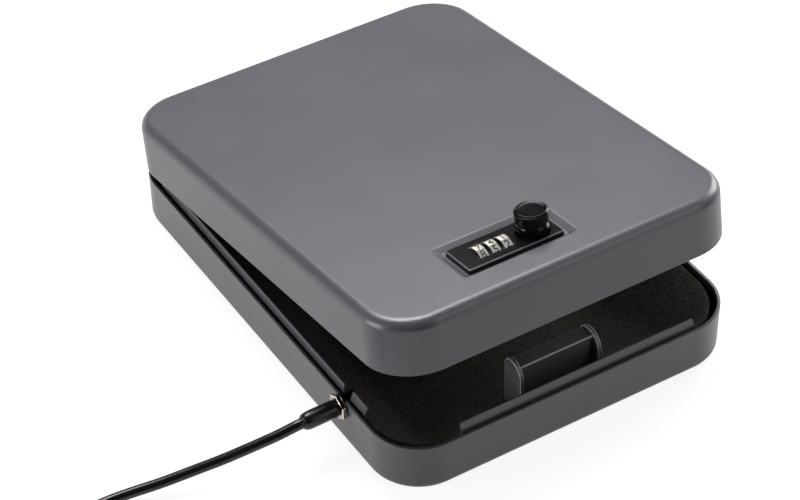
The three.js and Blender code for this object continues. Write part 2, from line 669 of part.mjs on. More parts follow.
function facePlate() {
  const half = PLATE_WIDTH / 2;
  const edge = (inset, z) => ({
    points: roundedRect(PLATE_LEFT + inset, PLATE_RIGHT - inset, LOCK_Y - half + inset,
      LOCK_Y + half - inset, PLATE_CORNER, 3),
    z,
  });
  const plate = loft([edge(0, PLATE_BOTTOM), edge(0, PLATE_TOP - FIT), edge(FIT, PLATE_TOP)]);
  const bossEnd = HOUSING_FLOOR_TOP + FIT;
  const bosses = Object.values(BOSSES).map(([x, y]) => post(x, y, BOSS_RADIUS, bossEnd, PLATE_BOTTOM + FIT));
  const tube = post(KNOB_X, LOCK_Y, TUBE_RADIUS, GATE_TOP + FIT, PLATE_BOTTOM + FIT, 24);
  const windows = [...Array(DIAL_COUNT).keys()].map((i) => {
    const x = dialCentre(i);
    const reach = DIAL_WIDTH / 2 + FIT;
    return rod(DIAL_Y, DIAL_Z, DIAL_RADIUS + FIT, x - reach, x + reach, 40);
  });
  const screwHoles = Object.values(BOSSES).map(([x, y]) => (
    post(x, y, SCREW_RADIUS + FIT / 2, bossEnd - FIT, PLATE_BOTTOM, 12)
  ));
  const bore = post(KNOB_X, LOCK_Y, SPINDLE_RADIUS + FIT, 0, PLATE_TOP + SHEET, 24);
  const flangeRoom = rod(DIAL_Y, DIAL_Z, SLEEVE_FLANGE_RADIUS + FIT, RIB_LEFT, RIB_RIGHT, 32);
  return cut(join(plate, tube, ...bosses), bore, flangeRoom, ...windows, ...screwHoles);
}

function lockHousing() {
  const shell = cut(
    box(HOUSING_LEFT, HOUSING_RIGHT, HOUSING_FRONT, HOUSING_BACK, HOUSING_BOTTOM, HOUSING_TOP),
    box(HOUSING_IN_LEFT, HOUSING_IN_RIGHT, HOUSING_IN_FRONT, HOUSING_IN_BACK, HOUSING_FLOOR_TOP,
      HOUSING_TOP + SHEET),
  );
  const middle = HOUSING_WALL / 2;
  const rib = (x0) => box(x0, x0 + RIB_THICKNESS, HOUSING_FRONT + middle, HOUSING_BACK - middle,
    HOUSING_FLOOR_TOP - FIT, HOUSING_TOP);
  const tunnel = box(RIB_LEFT - RIB_THICKNESS * 2, RIB_RIGHT + RIB_THICKNESS * 2,
    DIAL_Y - GATE_HALF_WIDTH - FIT, DIAL_Y + GATE_HALF_WIDTH + FIT,
    HOUSING_FLOOR_TOP, GATE_TOP + FIT);
  const axleHole = rod(DIAL_Y, DIAL_Z, DIAL_AXLE_RADIUS + FIT / 2, RIB_LEFT - RIB_THICKNESS * 2,
    RIB_RIGHT + RIB_THICKNESS * 2, 16);
  const holes = Object.values(BOSSES).map(([x, y]) => (
    post(x, y, SCREW_RADIUS + FIT, HOUSING_BOTTOM - SHEET, HOUSING_FLOOR_TOP + SHEET, 12)
  ));
  const spindleHole = post(KNOB_X, LOCK_Y, SPINDLE_RADIUS + FIT, HOUSING_BOTTOM - SHEET,
    HOUSING_FLOOR_TOP + FIT, 24);
  const resetHole = post(RESET_X, RESET_Y, SCREW_RADIUS + FIT, HOUSING_BOTTOM - SHEET,
    HOUSING_FLOOR_TOP + FIT, 12);
  const body = join(shell, rib(RIB_LEFT - RIB_THICKNESS), rib(RIB_RIGHT));
  return cut(body, tunnel, axleHole, spindleHole, resetHole, ...holes);
}

function lockScrew([x, y]) {
  const headTop = HOUSING_BOTTOM - FIT;
  return join(
    post(x, y, SCREW_HEAD_RADIUS, headTop - SCREW_HEAD_HEIGHT, headTop, 16),
    post(x, y, SCREW_RADIUS, headTop - FIT, PLATE_BOTTOM - FIT * 2, 12),
  );
}

// A dial wheel: flat faces for the numbers, with a groove at each corner, about the X axis
function dialWheel() {
  const points = [];
  const step = 2 * Math.PI / DIAL_FACES;
  const grooveAngle = step * 0.1;
  for (let i = 0; i < DIAL_FACES; i += 1) {
    const a = (i + 0.5) * step;
    points.push([a - grooveAngle, DIAL_RADIUS], [a, DIAL_RADIUS - DIAL_GROOVE], [a + grooveAngle, DIAL_RADIUS]);
  }
  const section = outline(points.map(([a, r]) => [r * Math.sin(a), r * Math.cos(a)]).reverse());
  const body = alongX(section, -DIAL_WIDTH / 2, DIAL_WIDTH / 2);
  return cut(body, rod(0, 0, DIAL_BORE_RADIUS, -DIAL_WIDTH, DIAL_WIDTH, 20));
}

// A code sleeve: hub inside the wheel and a notched flange beside it, about the X axis
function codeSleeve() {
  const hubStart = -DIAL_WIDTH / 2 + FIT / 2;
  const flangeStart = DIAL_WIDTH / 2 + FIT;
  const body = join(
    rod(0, 0, DIAL_BORE_RADIUS - FIT, hubStart, flangeStart + SLEEVE_FLANGE / 2, 20),
    rod(0, 0, SLEEVE_FLANGE_RADIUS, flangeStart, flangeStart + SLEEVE_FLANGE, 24),
  );
  const notch = box(flangeStart - FIT, flangeStart + SLEEVE_FLANGE * 2, -SLEEVE_NOTCH / 2, SLEEVE_NOTCH / 2,
    -SLEEVE_FLANGE_RADIUS * 2, -SLEEVE_FLANGE_RADIUS + SLEEVE_NOTCH / 2);
  return cut(body, rod(0, 0, DIAL_AXLE_RADIUS + FIT, -DIAL_PITCH, DIAL_PITCH, 16), notch);
}

function dialAxle() {
  const reach = RIB_THICKNESS + FIT;
  return rod(DIAL_Y, DIAL_Z, DIAL_AXLE_RADIUS, RIB_LEFT - reach, RIB_RIGHT + reach, 14);
}

// Leaf comb between the housing's front wall and the wheels: a strip with one finger for each wheel
function detentSpring() {
  const face = [HOUSING_IN_FRONT + FIT, HOUSING_IN_FRONT + FIT + DETENT_THICKNESS];
  const stripTop = HOUSING_FLOOR_TOP + FIT + DETENT_THICKNESS * 6;
  const parts = [box(RIB_LEFT + FIT, RIB_RIGHT - FIT, ...face, HOUSING_FLOOR_TOP + FIT, stripTop)];
  for (let i = 0; i < DIAL_COUNT; i += 1) {
    const x = dialCentre(i);
    const half = DIAL_WIDTH / 4;
    parts.push(box(x - half, x + half, ...face, stripTop - FIT, DIAL_Z));
  }
  return join(...parts);
}

// Blocking bar under the dials, with one finger beside each sleeve's flange
function gateBar() {
  const left = RIB_LEFT - RIB_THICKNESS - FIT * 2;
  const right = KNOB_X - SPINDLE_DISC_RADIUS - FIT;
  const parts = [box(left, right, DIAL_Y - GATE_HALF_WIDTH, DIAL_Y + GATE_HALF_WIDTH, GATE_BOTTOM, GATE_TOP)];
  const fingerTop = DIAL_Z - SLEEVE_FLANGE_RADIUS - FIT;
  for (let i = 0; i < DIAL_COUNT; i += 1) {
    const x = dialCentre(i) + DIAL_WIDTH / 2 + FIT;
    const half = SLEEVE_NOTCH / 2 - FIT;
    parts.push(box(x, x + SLEEVE_FLANGE, DIAL_Y - half, DIAL_Y + half, GATE_TOP - FIT, fingerTop));
  }
  return join(...parts);
}

class Helix extends THREE.Curve {
  constructor(radius, turns, length) {
    super();
    Object.assign(this, { radius, turns, length });
  }

  getPoint(t, target = new THREE.Vector3()) {
    const a = 2 * Math.PI * this.turns * t;
    return target.set(this.length * t, this.radius * Math.cos(a), this.radius * Math.sin(a));
  }
}

function gateSpring() {
  const start = HOUSING_IN_LEFT + FIT + GATE_SPRING_WIRE;
  const end = RIB_LEFT - RIB_THICKNESS - FIT * 3 - GATE_SPRING_WIRE;
  const path = new Helix(GATE_SPRING_RADIUS - GATE_SPRING_WIRE, GATE_SPRING_TURNS, end - start);
  const spring = new THREE.ExtrudeGeometry(discShape(GATE_SPRING_WIRE, 5), {
    steps: GATE_SPRING_TURNS * 8, bevelEnabled: false, extrudePath: path,
  });
  return spring.translate(start, DIAL_Y, HOUSING_FLOOR_TOP + FIT + GATE_SPRING_RADIUS);
}

// Knob: collar, waist and cap turned in one, with a blind bore for the spindle
function lockKnob() {
  const z = (height) => KNOB_BOTTOM + height;
  const flare = KNOB_COLLAR_RADIUS - KNOB_WAIST_RADIUS;
  const brim = KNOB_CAP_RADIUS - KNOB_WAIST_RADIUS;
  const profile = [
    [0, z(0)], [KNOB_COLLAR_RADIUS - KNOB_ROUNDING, z(0)], [KNOB_COLLAR_RADIUS, z(KNOB_ROUNDING)],
  ];
  for (const a of quarterSteps(4)) {
    const rise = (KNOB_WAIST_LEVEL - KNOB_COLLAR_EDGE) * (1 - Math.cos(a));
    profile.push([KNOB_WAIST_RADIUS + flare * (1 - Math.sin(a)), z(KNOB_COLLAR_EDGE + rise)]);
  }
  for (const a of quarterSteps(3).slice(1)) {
    const rise = (KNOB_CAP_BOTTOM - KNOB_WAIST_LEVEL) * Math.sin(a);
    profile.push([KNOB_WAIST_RADIUS + brim * (1 - Math.cos(a)), z(KNOB_WAIST_LEVEL + rise)]);
  }
  profile.push(
    [KNOB_CAP_RADIUS, z(KNOB_CAP_EDGE - KNOB_ROUNDING)],
    [KNOB_CAP_RADIUS - KNOB_ROUNDING, z(KNOB_CAP_EDGE)],
    [KNOB_DISH_RADIUS, z(KNOB_HEIGHT)],
    [KNOB_DISH_RADIUS - KNOB_DISH_DEPTH, z(KNOB_HEIGHT - KNOB_DISH_DEPTH)],
    [0, z(KNOB_HEIGHT - KNOB_DISH_DEPTH)],
  );
  const bore = post(0, 0, SPINDLE_RADIUS + FIT, 0, z(KNOB_HEIGHT / 2), 24);
  return cut(turned(profile, 36), bore).translate(KNOB_X, LOCK_Y, 0);
}

// Spindle: shaft with a notched disc inside the housing and a squared end for the cam
function knobSpindle() {
  const shaft = post(0, 0, SPINDLE_RADIUS, CAM_TOP + FIT, KNOB_BOTTOM + KNOB_HEIGHT / 2 - FIT, 24);
  const half = CAM_SQUARE / 2;
  const square = box(-half, half, -half, half, CAM_BOTTOM - FIT, CAM_TOP + FIT * 2);
  const disc = post(0, 0, SPINDLE_DISC_RADIUS, GATE_BOTTOM, GATE_TOP, 28);
  const depth = SPINDLE_DISC_RADIUS - SLEEVE_NOTCH;
  const notchHalf = GATE_HALF_WIDTH + DIAL_BEHIND_KNOB + FIT;
  const notches = [
    box(-SPINDLE_DISC_RADIUS * 2, -depth, -notchHalf, notchHalf, GATE_BOTTOM - FIT, GATE_TOP + FIT),
    box(-notchHalf, notchHalf, -SPINDLE_DISC_RADIUS * 2, -depth, GATE_BOTTOM - FIT, GATE_TOP + FIT),
  ];
  const threadBore = post(0, 0, SCREW_RADIUS + FIT / 2, CAM_BOTTOM - SHEET, CAM_TOP + SHEET * 2, 12);
  return cut(join(shaft, square, disc), ...notches, threadBore).translate(KNOB_X, LOCK_Y, 0);
}

function spindleWasher() {
  const z0 = PLATE_TOP + FIT;
  const inner = SPINDLE_RADIUS + FIT;
  return turned([
    [inner, z0], [inner + SHEET, z0], [inner + SHEET, z0 + WASHER_THICKNESS], [inner, z0 + WASHER_THICKNESS],
    [inner, z0],
  ], 24).translate(KNOB_X, LOCK_Y, 0);
}

// Cam lever: hub and arm. It points to +X when unlocked.
function camLever() {
  const arm = box(0, CAM_REACH - CAM_HALF_WIDTH, -CAM_HALF_WIDTH, CAM_HALF_WIDTH, CAM_BOTTOM, CAM_TOP);
  const tip = post(CAM_REACH - CAM_HALF_WIDTH, 0, CAM_HALF_WIDTH, CAM_BOTTOM, CAM_TOP, 24);
  const hub = post(0, 0, CAM_HUB_RADIUS, CAM_BOTTOM, CAM_TOP, 28);
  const half = CAM_SQUARE / 2 + FIT;
  const square = box(-half, half, -half, half, CAM_BOTTOM - SHEET, CAM_TOP + SHEET);
  return cut(join(hub, arm, tip), square).translate(KNOB_X, LOCK_Y, 0);
}

function camScrew() {
  const headTop = CAM_BOTTOM - FIT * 2;
  return join(
    post(0, 0, CAM_SQUARE / 2 + SHEET / 2, headTop - SCREW_HEAD_HEIGHT, headTop, 18),
    post(0, 0, SCREW_RADIUS, headTop - FIT, CAM_TOP + SHEET, 12),
  ).translate(KNOB_X, LOCK_Y, 0);
}

// Reset lever under the housing: a small arm on its own pivot pin
const RESET_X = DIAL_MIDDLE;
const RESET_Y = HOUSING_IN_BACK - SCREW_RADIUS - RUNNING;

function resetLever() {
  const top = HOUSING_BOTTOM - FIT;
  const reach = RESET_LENGTH - RESET_HALF_WIDTH;
  const lever = join(
    post(0, 0, RESET_HALF_WIDTH, top - RESET_THICKNESS, top, 18),
    box(-reach, 0, -RESET_HALF_WIDTH / 2, RESET_HALF_WIDTH / 2, top - RESET_THICKNESS, top),
    post(-reach, 0, RESET_HALF_WIDTH, top - RESET_THICKNESS * 3, top, 18),
    post(0, 0, SCREW_RADIUS, top - FIT, HOUSING_FLOOR_TOP - FIT, 12),
  );
  return lever.translate(RESET_X, RESET_Y, 0);
}

// Tether: the local frame has its origin on the wall's outer face and -X pointing out
function anchorStud() {
  const inside = SHEET + FLANGE_STANDOFF + FLANGE_THICKNESS + RUNNING;
  const end = -(CABLE_PAST_WALL + CABLE_SLEEVE_LENGTH / 2);
  return join(
    rod(0, 0, ANCHOR_HEAD_RADIUS, inside, inside + ANCHOR_HEAD, 24),
    rod(0, 0, NECK_RADIUS, end, inside + FIT, 20),
  );
}

function anchorNut() {
  const flats = discShape(NUT_ACROSS_FLATS / Math.sqrt(3), 6);
  const nut = alongX(flats, -FIT - NUT_THICKNESS, -FIT).rotateX(Math.PI / 2);
  return cut(nut, rod(0, 0, NECK_RADIUS + FIT, -NUT_THICKNESS * 3, NUT_THICKNESS, 20));
}

function cableSleeve() {
  const start = CABLE_PAST_WALL;
  const end = start + CABLE_SLEEVE_LENGTH;
  const half = start + CABLE_SLEEVE_LENGTH / 2;
  const r = CABLE_SLEEVE_RADIUS;
  const bore = NECK_RADIUS + FIT;
  const profile = [
    [bore, start], [r * 0.95, start], [r, start + r * 0.5], [r, end - r * 0.9], [r * 0.95, end - r * 0.45],
    [r * 0.84, end - r * 0.15], [r * 0.7, end], [0, end], [0, half + FIT], [bore, half + FIT], [bore, start],
  ];
  return turned(profile, 24).rotateY(-Math.PI / 2);
}

function cableTube(points, steps) {
  const path = new THREE.CatmullRomCurve3(points.map((p) => new THREE.Vector3(...p)));
  return new THREE.ExtrudeGeometry(discShape(CABLE_RADIUS, 8), {
    steps, bevelEnabled: false, extrudePath: path,
  });
}

function sleeveEnd(past) {
  const reach = CABLE_PAST_WALL + CABLE_SLEEVE_LENGTH + past;
  return [
    -SIDE - reach * Math.cos(TETHER_DROOP), TETHER_Y, TETHER_Z - reach * Math.sin(TETHER_DROOP),
  ];
}

function cableCoil() {
  const [r0, r1] = [COIL_TURN_RADIUS - COIL_HALF_WIDTH, COIL_TURN_RADIUS + COIL_HALF_WIDTH];
  const [z0, z1] = [COIL_LIFT, COIL_LIFT + COIL_HEIGHT];
  const round = CABLE_RADIUS * 0.6;
  return turned([
    [r0, z0 + round], [r0 + round, z0], [r1 - round, z0], [r1, z0 + round],
    [r1, z1 - round], [r1 - round, z1], [r0 + round, z1], [r0, z1 - round], [r0, z0 + round],
  ], 40).translate(COIL_X, COIL_Y, 0);
}

function coilTie() {
  const sag = TIE_WIDTH ** 2 / 8 / (COIL_TURN_RADIUS - COIL_HALF_WIDTH);
  const [r0, r1] = [COIL_TURN_RADIUS - COIL_HALF_WIDTH - FIT - sag, COIL_TURN_RADIUS + COIL_HALF_WIDTH + FIT];
  const [z0, z1] = [COIL_LIFT - FIT, COIL_LIFT + COIL_HEIGHT + FIT];
  const t = TIE_THICKNESS;
  const half = TIE_WIDTH / 2;
  const band = cut(
    box(r0 - t, r1 + t, -half, half, z0 - t, z1 + t),
    box(r0, r1, -TIE_WIDTH, TIE_WIDTH, z0, z1),
  );
  return band.rotateZ(TIE_ANGLE).translate(COIL_X, COIL_Y, 0);
}

// Ferrule and eye: the frame starts where the tail ends and points along it.
function tailEnd() {
  const last = new THREE.Vector3(...TAIL_POINTS.at(-1));
  const before = new THREE.Vector3(...TAIL_POINTS.at(-2));
  const heading = Math.atan2(last.y - before.y, last.x - before.x);
  return { last, heading };
}

function cableFerrule() {
  const half = FERRULE_HALF_HEIGHT;
  const wide = half + CABLE_RADIUS;
  const section = outline(roundedRect(-wide, wide, -half, half, half * 0.8, 4));
  return alongX(section, FIT, FIT + FERRULE_LENGTH);
}

function cableEye() {
  const start = FIT * 2 + FERRULE_LENGTH;
  const gap = CABLE_RADIUS + FIT;
  const wide = EYE_WIDTH / 2;
  const end = start + EYE_LENGTH;
  const half = [
    [start, gap], [start + STRAIGHT_LEAD, gap],
    [start + EYE_LENGTH * 0.26, gap + CABLE_RADIUS], [start + EYE_LENGTH * 0.48, wide * 0.84],
    [end - EYE_LENGTH * 0.28, wide], [end - EYE_LENGTH * 0.09, wide * 0.68],
  ];
  const points = [...half, [end, 0], ...half.map(([x, y]) => [x, -y]).reverse()];
  return cableTube(points.map(([x, y]) => [x, y, 0]), 38);
}

// Assembly: base
add(root, 'base_shell', baseShell(), POWDER_COAT);
add(root, 'flange_front', frontFlange(...FRONT_FLANGE), POWDER_COAT);
for (const [name, span] of Object.entries(SIDE_FLANGES)) {
  add(root, name, sideFlange(...span), POWDER_COAT);
}
add(root, 'base_floor_foam', floorFoam(), FOAM);
add(root, 'base_wall_foam', wallFoam(), FOAM);
add(root, 'strike_bracket', strikeBracket(), BLACK_COAT);
add(root, 'hinge_base_leaf', hingeLeaf(BASE_KNUCKLES, -1, BASE_HEIGHT), POWDER_COAT);
add(root, 'hinge_pin', hingePin(), STEEL);

// Assembly: lid and lock
add(lid, 'lid_shell', lidShell(), POWDER_COAT);
add(lid, 'lid_foam', lidFoam(), FOAM);
add(lid, 'hinge_lid_leaf', hingeLeaf(LID_KNUCKLES, 1, 0), POWDER_COAT);
add(lid, 'lock_faceplate', facePlate(), ZINC);
add(lid, 'lock_housing', lockHousing(), ZINC);
for (const [name, place] of Object.entries(BOSSES)) {
  add(lid, name, lockScrew(place), STEEL);
}
for (let i = 0; i < DIAL_COUNT; i += 1) {
  const wheel = add(lid, `dial_wheel_${i + 1}`, dialWheel(), IVORY);
  const sleeve = add(lid, `code_sleeve_${i + 1}`, codeSleeve(), BRASS);
  wheel.position.set(dialCentre(i), DIAL_Y, DIAL_Z);
  sleeve.position.copy(wheel.position);
}
add(lid, 'dial_axle', dialAxle(), STEEL);
add(lid, 'detent_spring', detentSpring(), STEEL);
add(lid, 'gate_bar', gateBar(), BRASS);
add(lid, 'gate_spring', gateSpring(), STEEL);
add(lid, 'lock_knob', lockKnob(), GLOSS_BLACK);
add(lid, 'knob_spindle', knobSpindle(), STEEL);
add(lid, 'spindle_washer', spindleWasher(), STEEL);
add(lid, 'cam_lever', camLever(), STEEL);
add(lid, 'cam_screw', camScrew(), STEEL);
add(lid, 'reset_lever', resetLever(), STEEL);

// Assembly: tether
add(tether, 'anchor_stud', anchorStud(), BRASS);
add(tether, 'anchor_nut', anchorNut(), BRASS);
add(tether, 'cable_sleeve', cableSleeve(), GLOSS_BLACK);
add(root, 'cable_lead', cableTube([sleeveEnd(FIT), sleeveEnd(STRAIGHT_LEAD), ...LEAD_POINTS], 26), VINYL);
add(root, 'cable_coil', cableCoil(), VINYL);
add(root, 'coil_tie', coilTie(), VINYL);
add(root, 'cable_tail', cableTube(TAIL_POINTS, 8), VINYL);
const { last, heading } = tailEnd();
const loop = new THREE.Group();
loop.position.copy(last);
loop.rotation.z = heading;
root.add(loop);
add(loop, 'cable_ferrule', cableFerrule(), STEEL);
add(loop, 'cable_eye', cableEye(), VINYL);

export default root;
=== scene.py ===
from math import atan2, cos, hypot, pi, radians, sin

import bmesh
import bpy
from mathutils import Matrix, Vector


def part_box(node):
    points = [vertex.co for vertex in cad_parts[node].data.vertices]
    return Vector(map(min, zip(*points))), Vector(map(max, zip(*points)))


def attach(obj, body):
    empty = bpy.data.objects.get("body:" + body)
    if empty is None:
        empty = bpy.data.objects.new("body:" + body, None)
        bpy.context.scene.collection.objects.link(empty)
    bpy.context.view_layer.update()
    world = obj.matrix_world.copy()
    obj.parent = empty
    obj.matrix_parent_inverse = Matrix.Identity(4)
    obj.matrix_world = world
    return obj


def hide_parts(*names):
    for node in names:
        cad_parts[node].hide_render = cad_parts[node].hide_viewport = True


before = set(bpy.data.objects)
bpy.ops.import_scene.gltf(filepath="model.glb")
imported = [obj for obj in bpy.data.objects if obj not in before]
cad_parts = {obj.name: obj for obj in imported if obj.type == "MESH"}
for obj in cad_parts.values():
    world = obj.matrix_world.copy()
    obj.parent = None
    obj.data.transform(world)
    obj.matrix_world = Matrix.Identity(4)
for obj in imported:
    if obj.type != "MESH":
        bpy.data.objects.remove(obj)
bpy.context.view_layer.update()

# Portable car safe: finished skins, foam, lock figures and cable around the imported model.
# Metres, in the part's own frame: +X right, +Y towards the hinge, +Z up.

MM = 0.001

# Case, as in the part's source
CASE_WIDTH = 178 * MM
CASE_LENGTH = 241 * MM
BASE_HEIGHT = 25 * MM
LID_HEIGHT = 25.8 * MM
SHEET = 1.5 * MM
CORNER_RADIUS = 24 * MM
BASE_FILLET = 4 * MM
LID_FILLET = 5 * MM
WALL_DRAFT = 0.2 * MM
RIM_ROUND = 0.45 * MM
FIT = 0.3 * MM
LID_ANGLE = radians(9.44)
HINGE_SETBACK = 2.5 * MM
HINGE_LENGTH = 120 * MM
HINGE_KNUCKLES = 5
KNUCKLE_GAP = 0.6 * MM
TAB_REACH = 2.4 * MM
# How far inside its fillet a flat face begins
TRAY_SEAM = 0.6 * MM
LID_SEAM = 0.8 * MM

# Foam
WALL_FOAM = 5 * MM
WALL_FOAM_CORNER = 28 * MM
FOAM_EDGE = 0.9 * MM
FOAM_COVE = 24 * MM
FOAM_COVE_STEPS = 14
FOAM_COVE_CURVE = 1.7
FOAM_COVE_TOP = 0.995
FOAM_TOE = 0.1 * MM
FOAM_LIFT = 0.05 * MM
FOAM_SHOULDER = 1.8 * MM
STRIKE_EASE = 0.5 * MM
LOCK_EASE = 2 * MM
STUD_ROOM = 5.1 * MM

# Lock
LOCK_SETBACK = 29.7 * MM
KNOB_X = 0.5 * MM
PLATE_WIDTH = 19.4 * MM
POCKET_DEPTH = 1.6 * MM
POCKET_LEFT = 3.6 * MM
POCKET_RIGHT = 4.6 * MM
POCKET_FRONT = 2 * MM
POCKET_BACK = 4.4 * MM
POCKET_FLOOR_SHARE = 0.4
POCKET_CORNER = 1.8 * MM
POCKET_LEAST_CORNER = 0.4 * MM
POCKET_ROLL = 1.1 * MM
POCKET_TOP_ROLL = 0.2
POCKET_EVENNESS = 0.9
POCKET_STEPS = (0, 0.04, 0.12, 0.25, 0.4, 0.55, 0.7, 0.77, 0.82, 0.86, 0.9, 0.94, 0.97, 1)
HOUSING_WALL = 1.3 * MM
HOUSING_CORNER = 0.4 * MM
CAM_REACH = 11.7 * MM
CAM_HUB_RADIUS = 4.2 * MM
DIALS = (1, 2, 3)
DIAL_FACES = 10
DIAL_RADIUS = 7 * MM
DIAL_GROOVE = 0.5 * MM
DIAL_BORE = 3.4 * MM
# Place across each groove as a share of a face, and how much of the groove's depth it has
DIAL_GROOVE_SHAPE = ((-0.1, 0), (-0.05, 0.7), (0, 1), (0.05, 0.7), (0.1, 0))
# Distance in from each end of a dial, and how much smaller the dial is there, in mm
DIAL_END_SHAPE = ((0, 0.35), (0.1, 0.1), (0.35, 0))
FIGURE_HEIGHT = 3.7 * MM
FONT_SIZE_PER_HEIGHT = 1.35
FIGURE_RELIEF = 0.02 * MM
FIGURE_STROKE = 0.03 * MM
FIGURE_SHIFT = 3
KNOB_COLLAR = 7.8 * MM
KNOB_WAIST = 6.1 * MM
KNOB_CAP = 7.6 * MM
KNOB_ROUNDING = 0.3 * MM
KNOB_COLLAR_EDGE = 0.7 * MM
KNOB_WAIST_LEVEL = 2.7 * MM
KNOB_CAP_BOTTOM = 4.1 * MM
KNOB_CAP_EDGE = 8.2 * MM
KNOB_HEIGHT = 8.88 * MM
KNOB_DISH = 6.6 * MM
KNOB_DISH_DEPTH = 0.3 * MM
KNOB_DISH_STEPS = (0.95, 0.9, 0.84, 0.78, 0.7, 0.5, 0.25, 0)
KNOB_DISH_CURVE = 9
KNOB_DISH_RIM = 0.12 * MM

# Anti-pry flanges
FLANGE_THICKNESS = 1 * MM
FLANGE_RISE = 3.5 * MM
FLANGE_DEPTH = 15 * MM
FLANGE_WELD_HEIGHT = 6 * MM
FLANGE_JOGGLE = 2.5 * MM
FLANGE_GAP = 1.2 * MM
FLANGE_LEAN_START = 1 * MM
FLANGE_LEAN_CURVE = 1.15
FLANGE_LEAN_STEPS = (0, 0.15, 0.4, 0.7, 1)
FLANGE_TOP_ROUND = 0.4 * MM
# CAD node, name, wall, and in mm the lean of the top and the radii of both upper corners
FLANGES = (
    ("flange_front", "front_flange", "front", 1.6, 1.3, 1.3),
    ("flange_left_front", "left_front_flange", "left", 1.8, 1.3, 0.5),
    ("flange_left_rear", "left_rear_flange", "left", 0.9, 0.5, 1.3),
    ("flange_right", "right_flange", "right", 0.9, 1.3, 1.3),
)

# Strike bracket
STRIKE_PLATE_DEPTH = 7.4 * MM
STRIKE_THICKNESS = 1.6 * MM
STRIKE_FOLD = 0.7 * MM
STRIKE_CHEEK = 2 * MM
STRIKE_CHEEK_RISE = 1.5 * MM
STRIKE_LEFT_FRONT = 2.9 * MM
STRIKE_RIGHT_FRONT = 4.8 * MM
STRIKE_CHEEK_BACK = 2.3 * MM
# The cheek's outline, as shares of its depth
CHEEK_SHOULDER = 0.66
CHEEK_APEX = 0.54
CHEEK_BACK_PULL = 0.06
CHEEK_TOP_PULL = 0.26
CHEEK_FRONT_PULL = 0.36
CHEEK_STEPS = 16

# Tether
CABLE_RADIUS = 2.4 * MM
TETHER_SETBACK = 47.7 * MM
TETHER_BELOW_RIM = 4.5 * MM
TETHER_DROOP = radians(1.5)
NECK_RADIUS = 2.5 * MM
NECK_CLEARANCE = 0.35 * MM
NUT_ACROSS_FLATS = 10.8 * MM
NUT_THICKNESS = 2.3 * MM
NUT_CHAMFER = 0.32 * MM
NUT_FACE_SHARE = 0.96
SLEEVE_RADIUS = 4 * MM
SLEEVE_LENGTH = 16.5 * MM
SLEEVE_TAPER = 4.4 * MM
SLEEVE_LIP = 0.3 * MM
SLEEVE_NOSE = 0.25 * MM
SLEEVE_MOUTH_DEPTH = 3 * MM
CABLE_IN_SLEEVE = 2 * MM
CABLE_STRAIGHT = 2.5 * MM
COIL_CENTRE = Vector((-228 * MM, -95 * MM, 0))
COIL_TURN_RADII = (32.3 * MM, 27.5 * MM, 22.7 * MM)
COIL_LAYER_HEIGHTS = (3.4 * MM, 8.2 * MM)
# Total turning angles in degrees: the cable's way in, its turns, where it climbs to the
# upper layer, and where it changes from one turn's radius to the next
COIL_ENTRY_ANGLE, COIL_ENTRY_RADIUS = 95, 34 * MM
COIL_ANGLES = range(110, 1981, 10)
COIL_CHANGE = 60
COIL_CLIMB = 1050
COIL_CHANGES = ((410, 0, 1), (770, 1, 2), (1280, 2, 1), (1640, 1, 0))
STRAP_WIDTH = 8 * MM
STRAP_THICKNESS = 0.55 * MM
STRAP_CORNER = 2.2 * MM
STRAP_SLACK = 0.2 * MM
STRAP_INNER_SLACK = 0.5 * MM
STRAP_BOTTOM = 0.75 * MM
STRAP_ANGLE = radians(300)
EYE_LENGTH = 46 * MM
EYE_WIDTH = 26 * MM
EYE_TAKEN_UP = 0.2 * MM
FERRULE_LENGTH = 16 * MM
# Places along the ferrule as shares of its length, and how far in mm its skin is pressed in
FERRULE_SHAPE = (
    (0, 0.3), (0.02, 0.08), (0.06, 0), (0.2, 0), (0.26, 0.35), (0.34, 0.35), (0.4, 0),
    (0.6, 0), (0.66, 0.35), (0.74, 0.35), (0.8, 0), (0.94, 0), (0.98, 0.08), (1, 0.3),
)

# Free stretch of the tether from its sleeve to the coil, and from the coil to the ferrule
LEAD_POINTS = [
    (-0.114, -0.0724, 0.0192), (-0.120, -0.0715, 0.0177), (-0.127, -0.0699, 0.0158),
    (-0.135, -0.0679, 0.0136), (-0.144, -0.0655, 0.0111), (-0.153, -0.0629, 0.0089),
    (-0.162, -0.0606, 0.007), (-0.171, -0.0583, 0.0053), (-0.180, -0.0559, 0.004),
    (-0.188, -0.0543, 0.0032), (-0.196, -0.0536, 0.0028), (-0.204, -0.0538, 0.0027),
    (-0.2125, -0.0552, 0.0029), (-0.2218, -0.0581, 0.0034),
]
TAIL_POINTS = [
    (-0.2602, -0.1138, 0.0076), (-0.2588, -0.124, 0.0054), (-0.255, -0.133, 0.004),
    (-0.2495, -0.141, 0.0036),
]

# Values that follow
REAR = CASE_LENGTH / 2
FRONT = -REAR
SIDE = CASE_WIDTH / 2
HINGE_Y = REAR + HINGE_SETBACK
LOCK_Y = FRONT + LOCK_SETBACK
POCKET_FLOOR = LID_HEIGHT - POCKET_DEPTH
TETHER_Y = FRONT + TETHER_SETBACK
TETHER_Z = BASE_HEIGHT - TETHER_BELOW_RIM
SLEEVE_START = FIT + NUT_THICKNESS + FIT
LID = (Matrix.Translation((0, HINGE_Y, BASE_HEIGHT)) @ Matrix.Rotation(-LID_ANGLE, 4, "X")
       @ Matrix.Translation((0, -HINGE_Y, 0)))
TETHER = Matrix.Translation((-SIDE, TETHER_Y, TETHER_Z)) @ Matrix.Rotation(-TETHER_DROOP, 4, "Y")

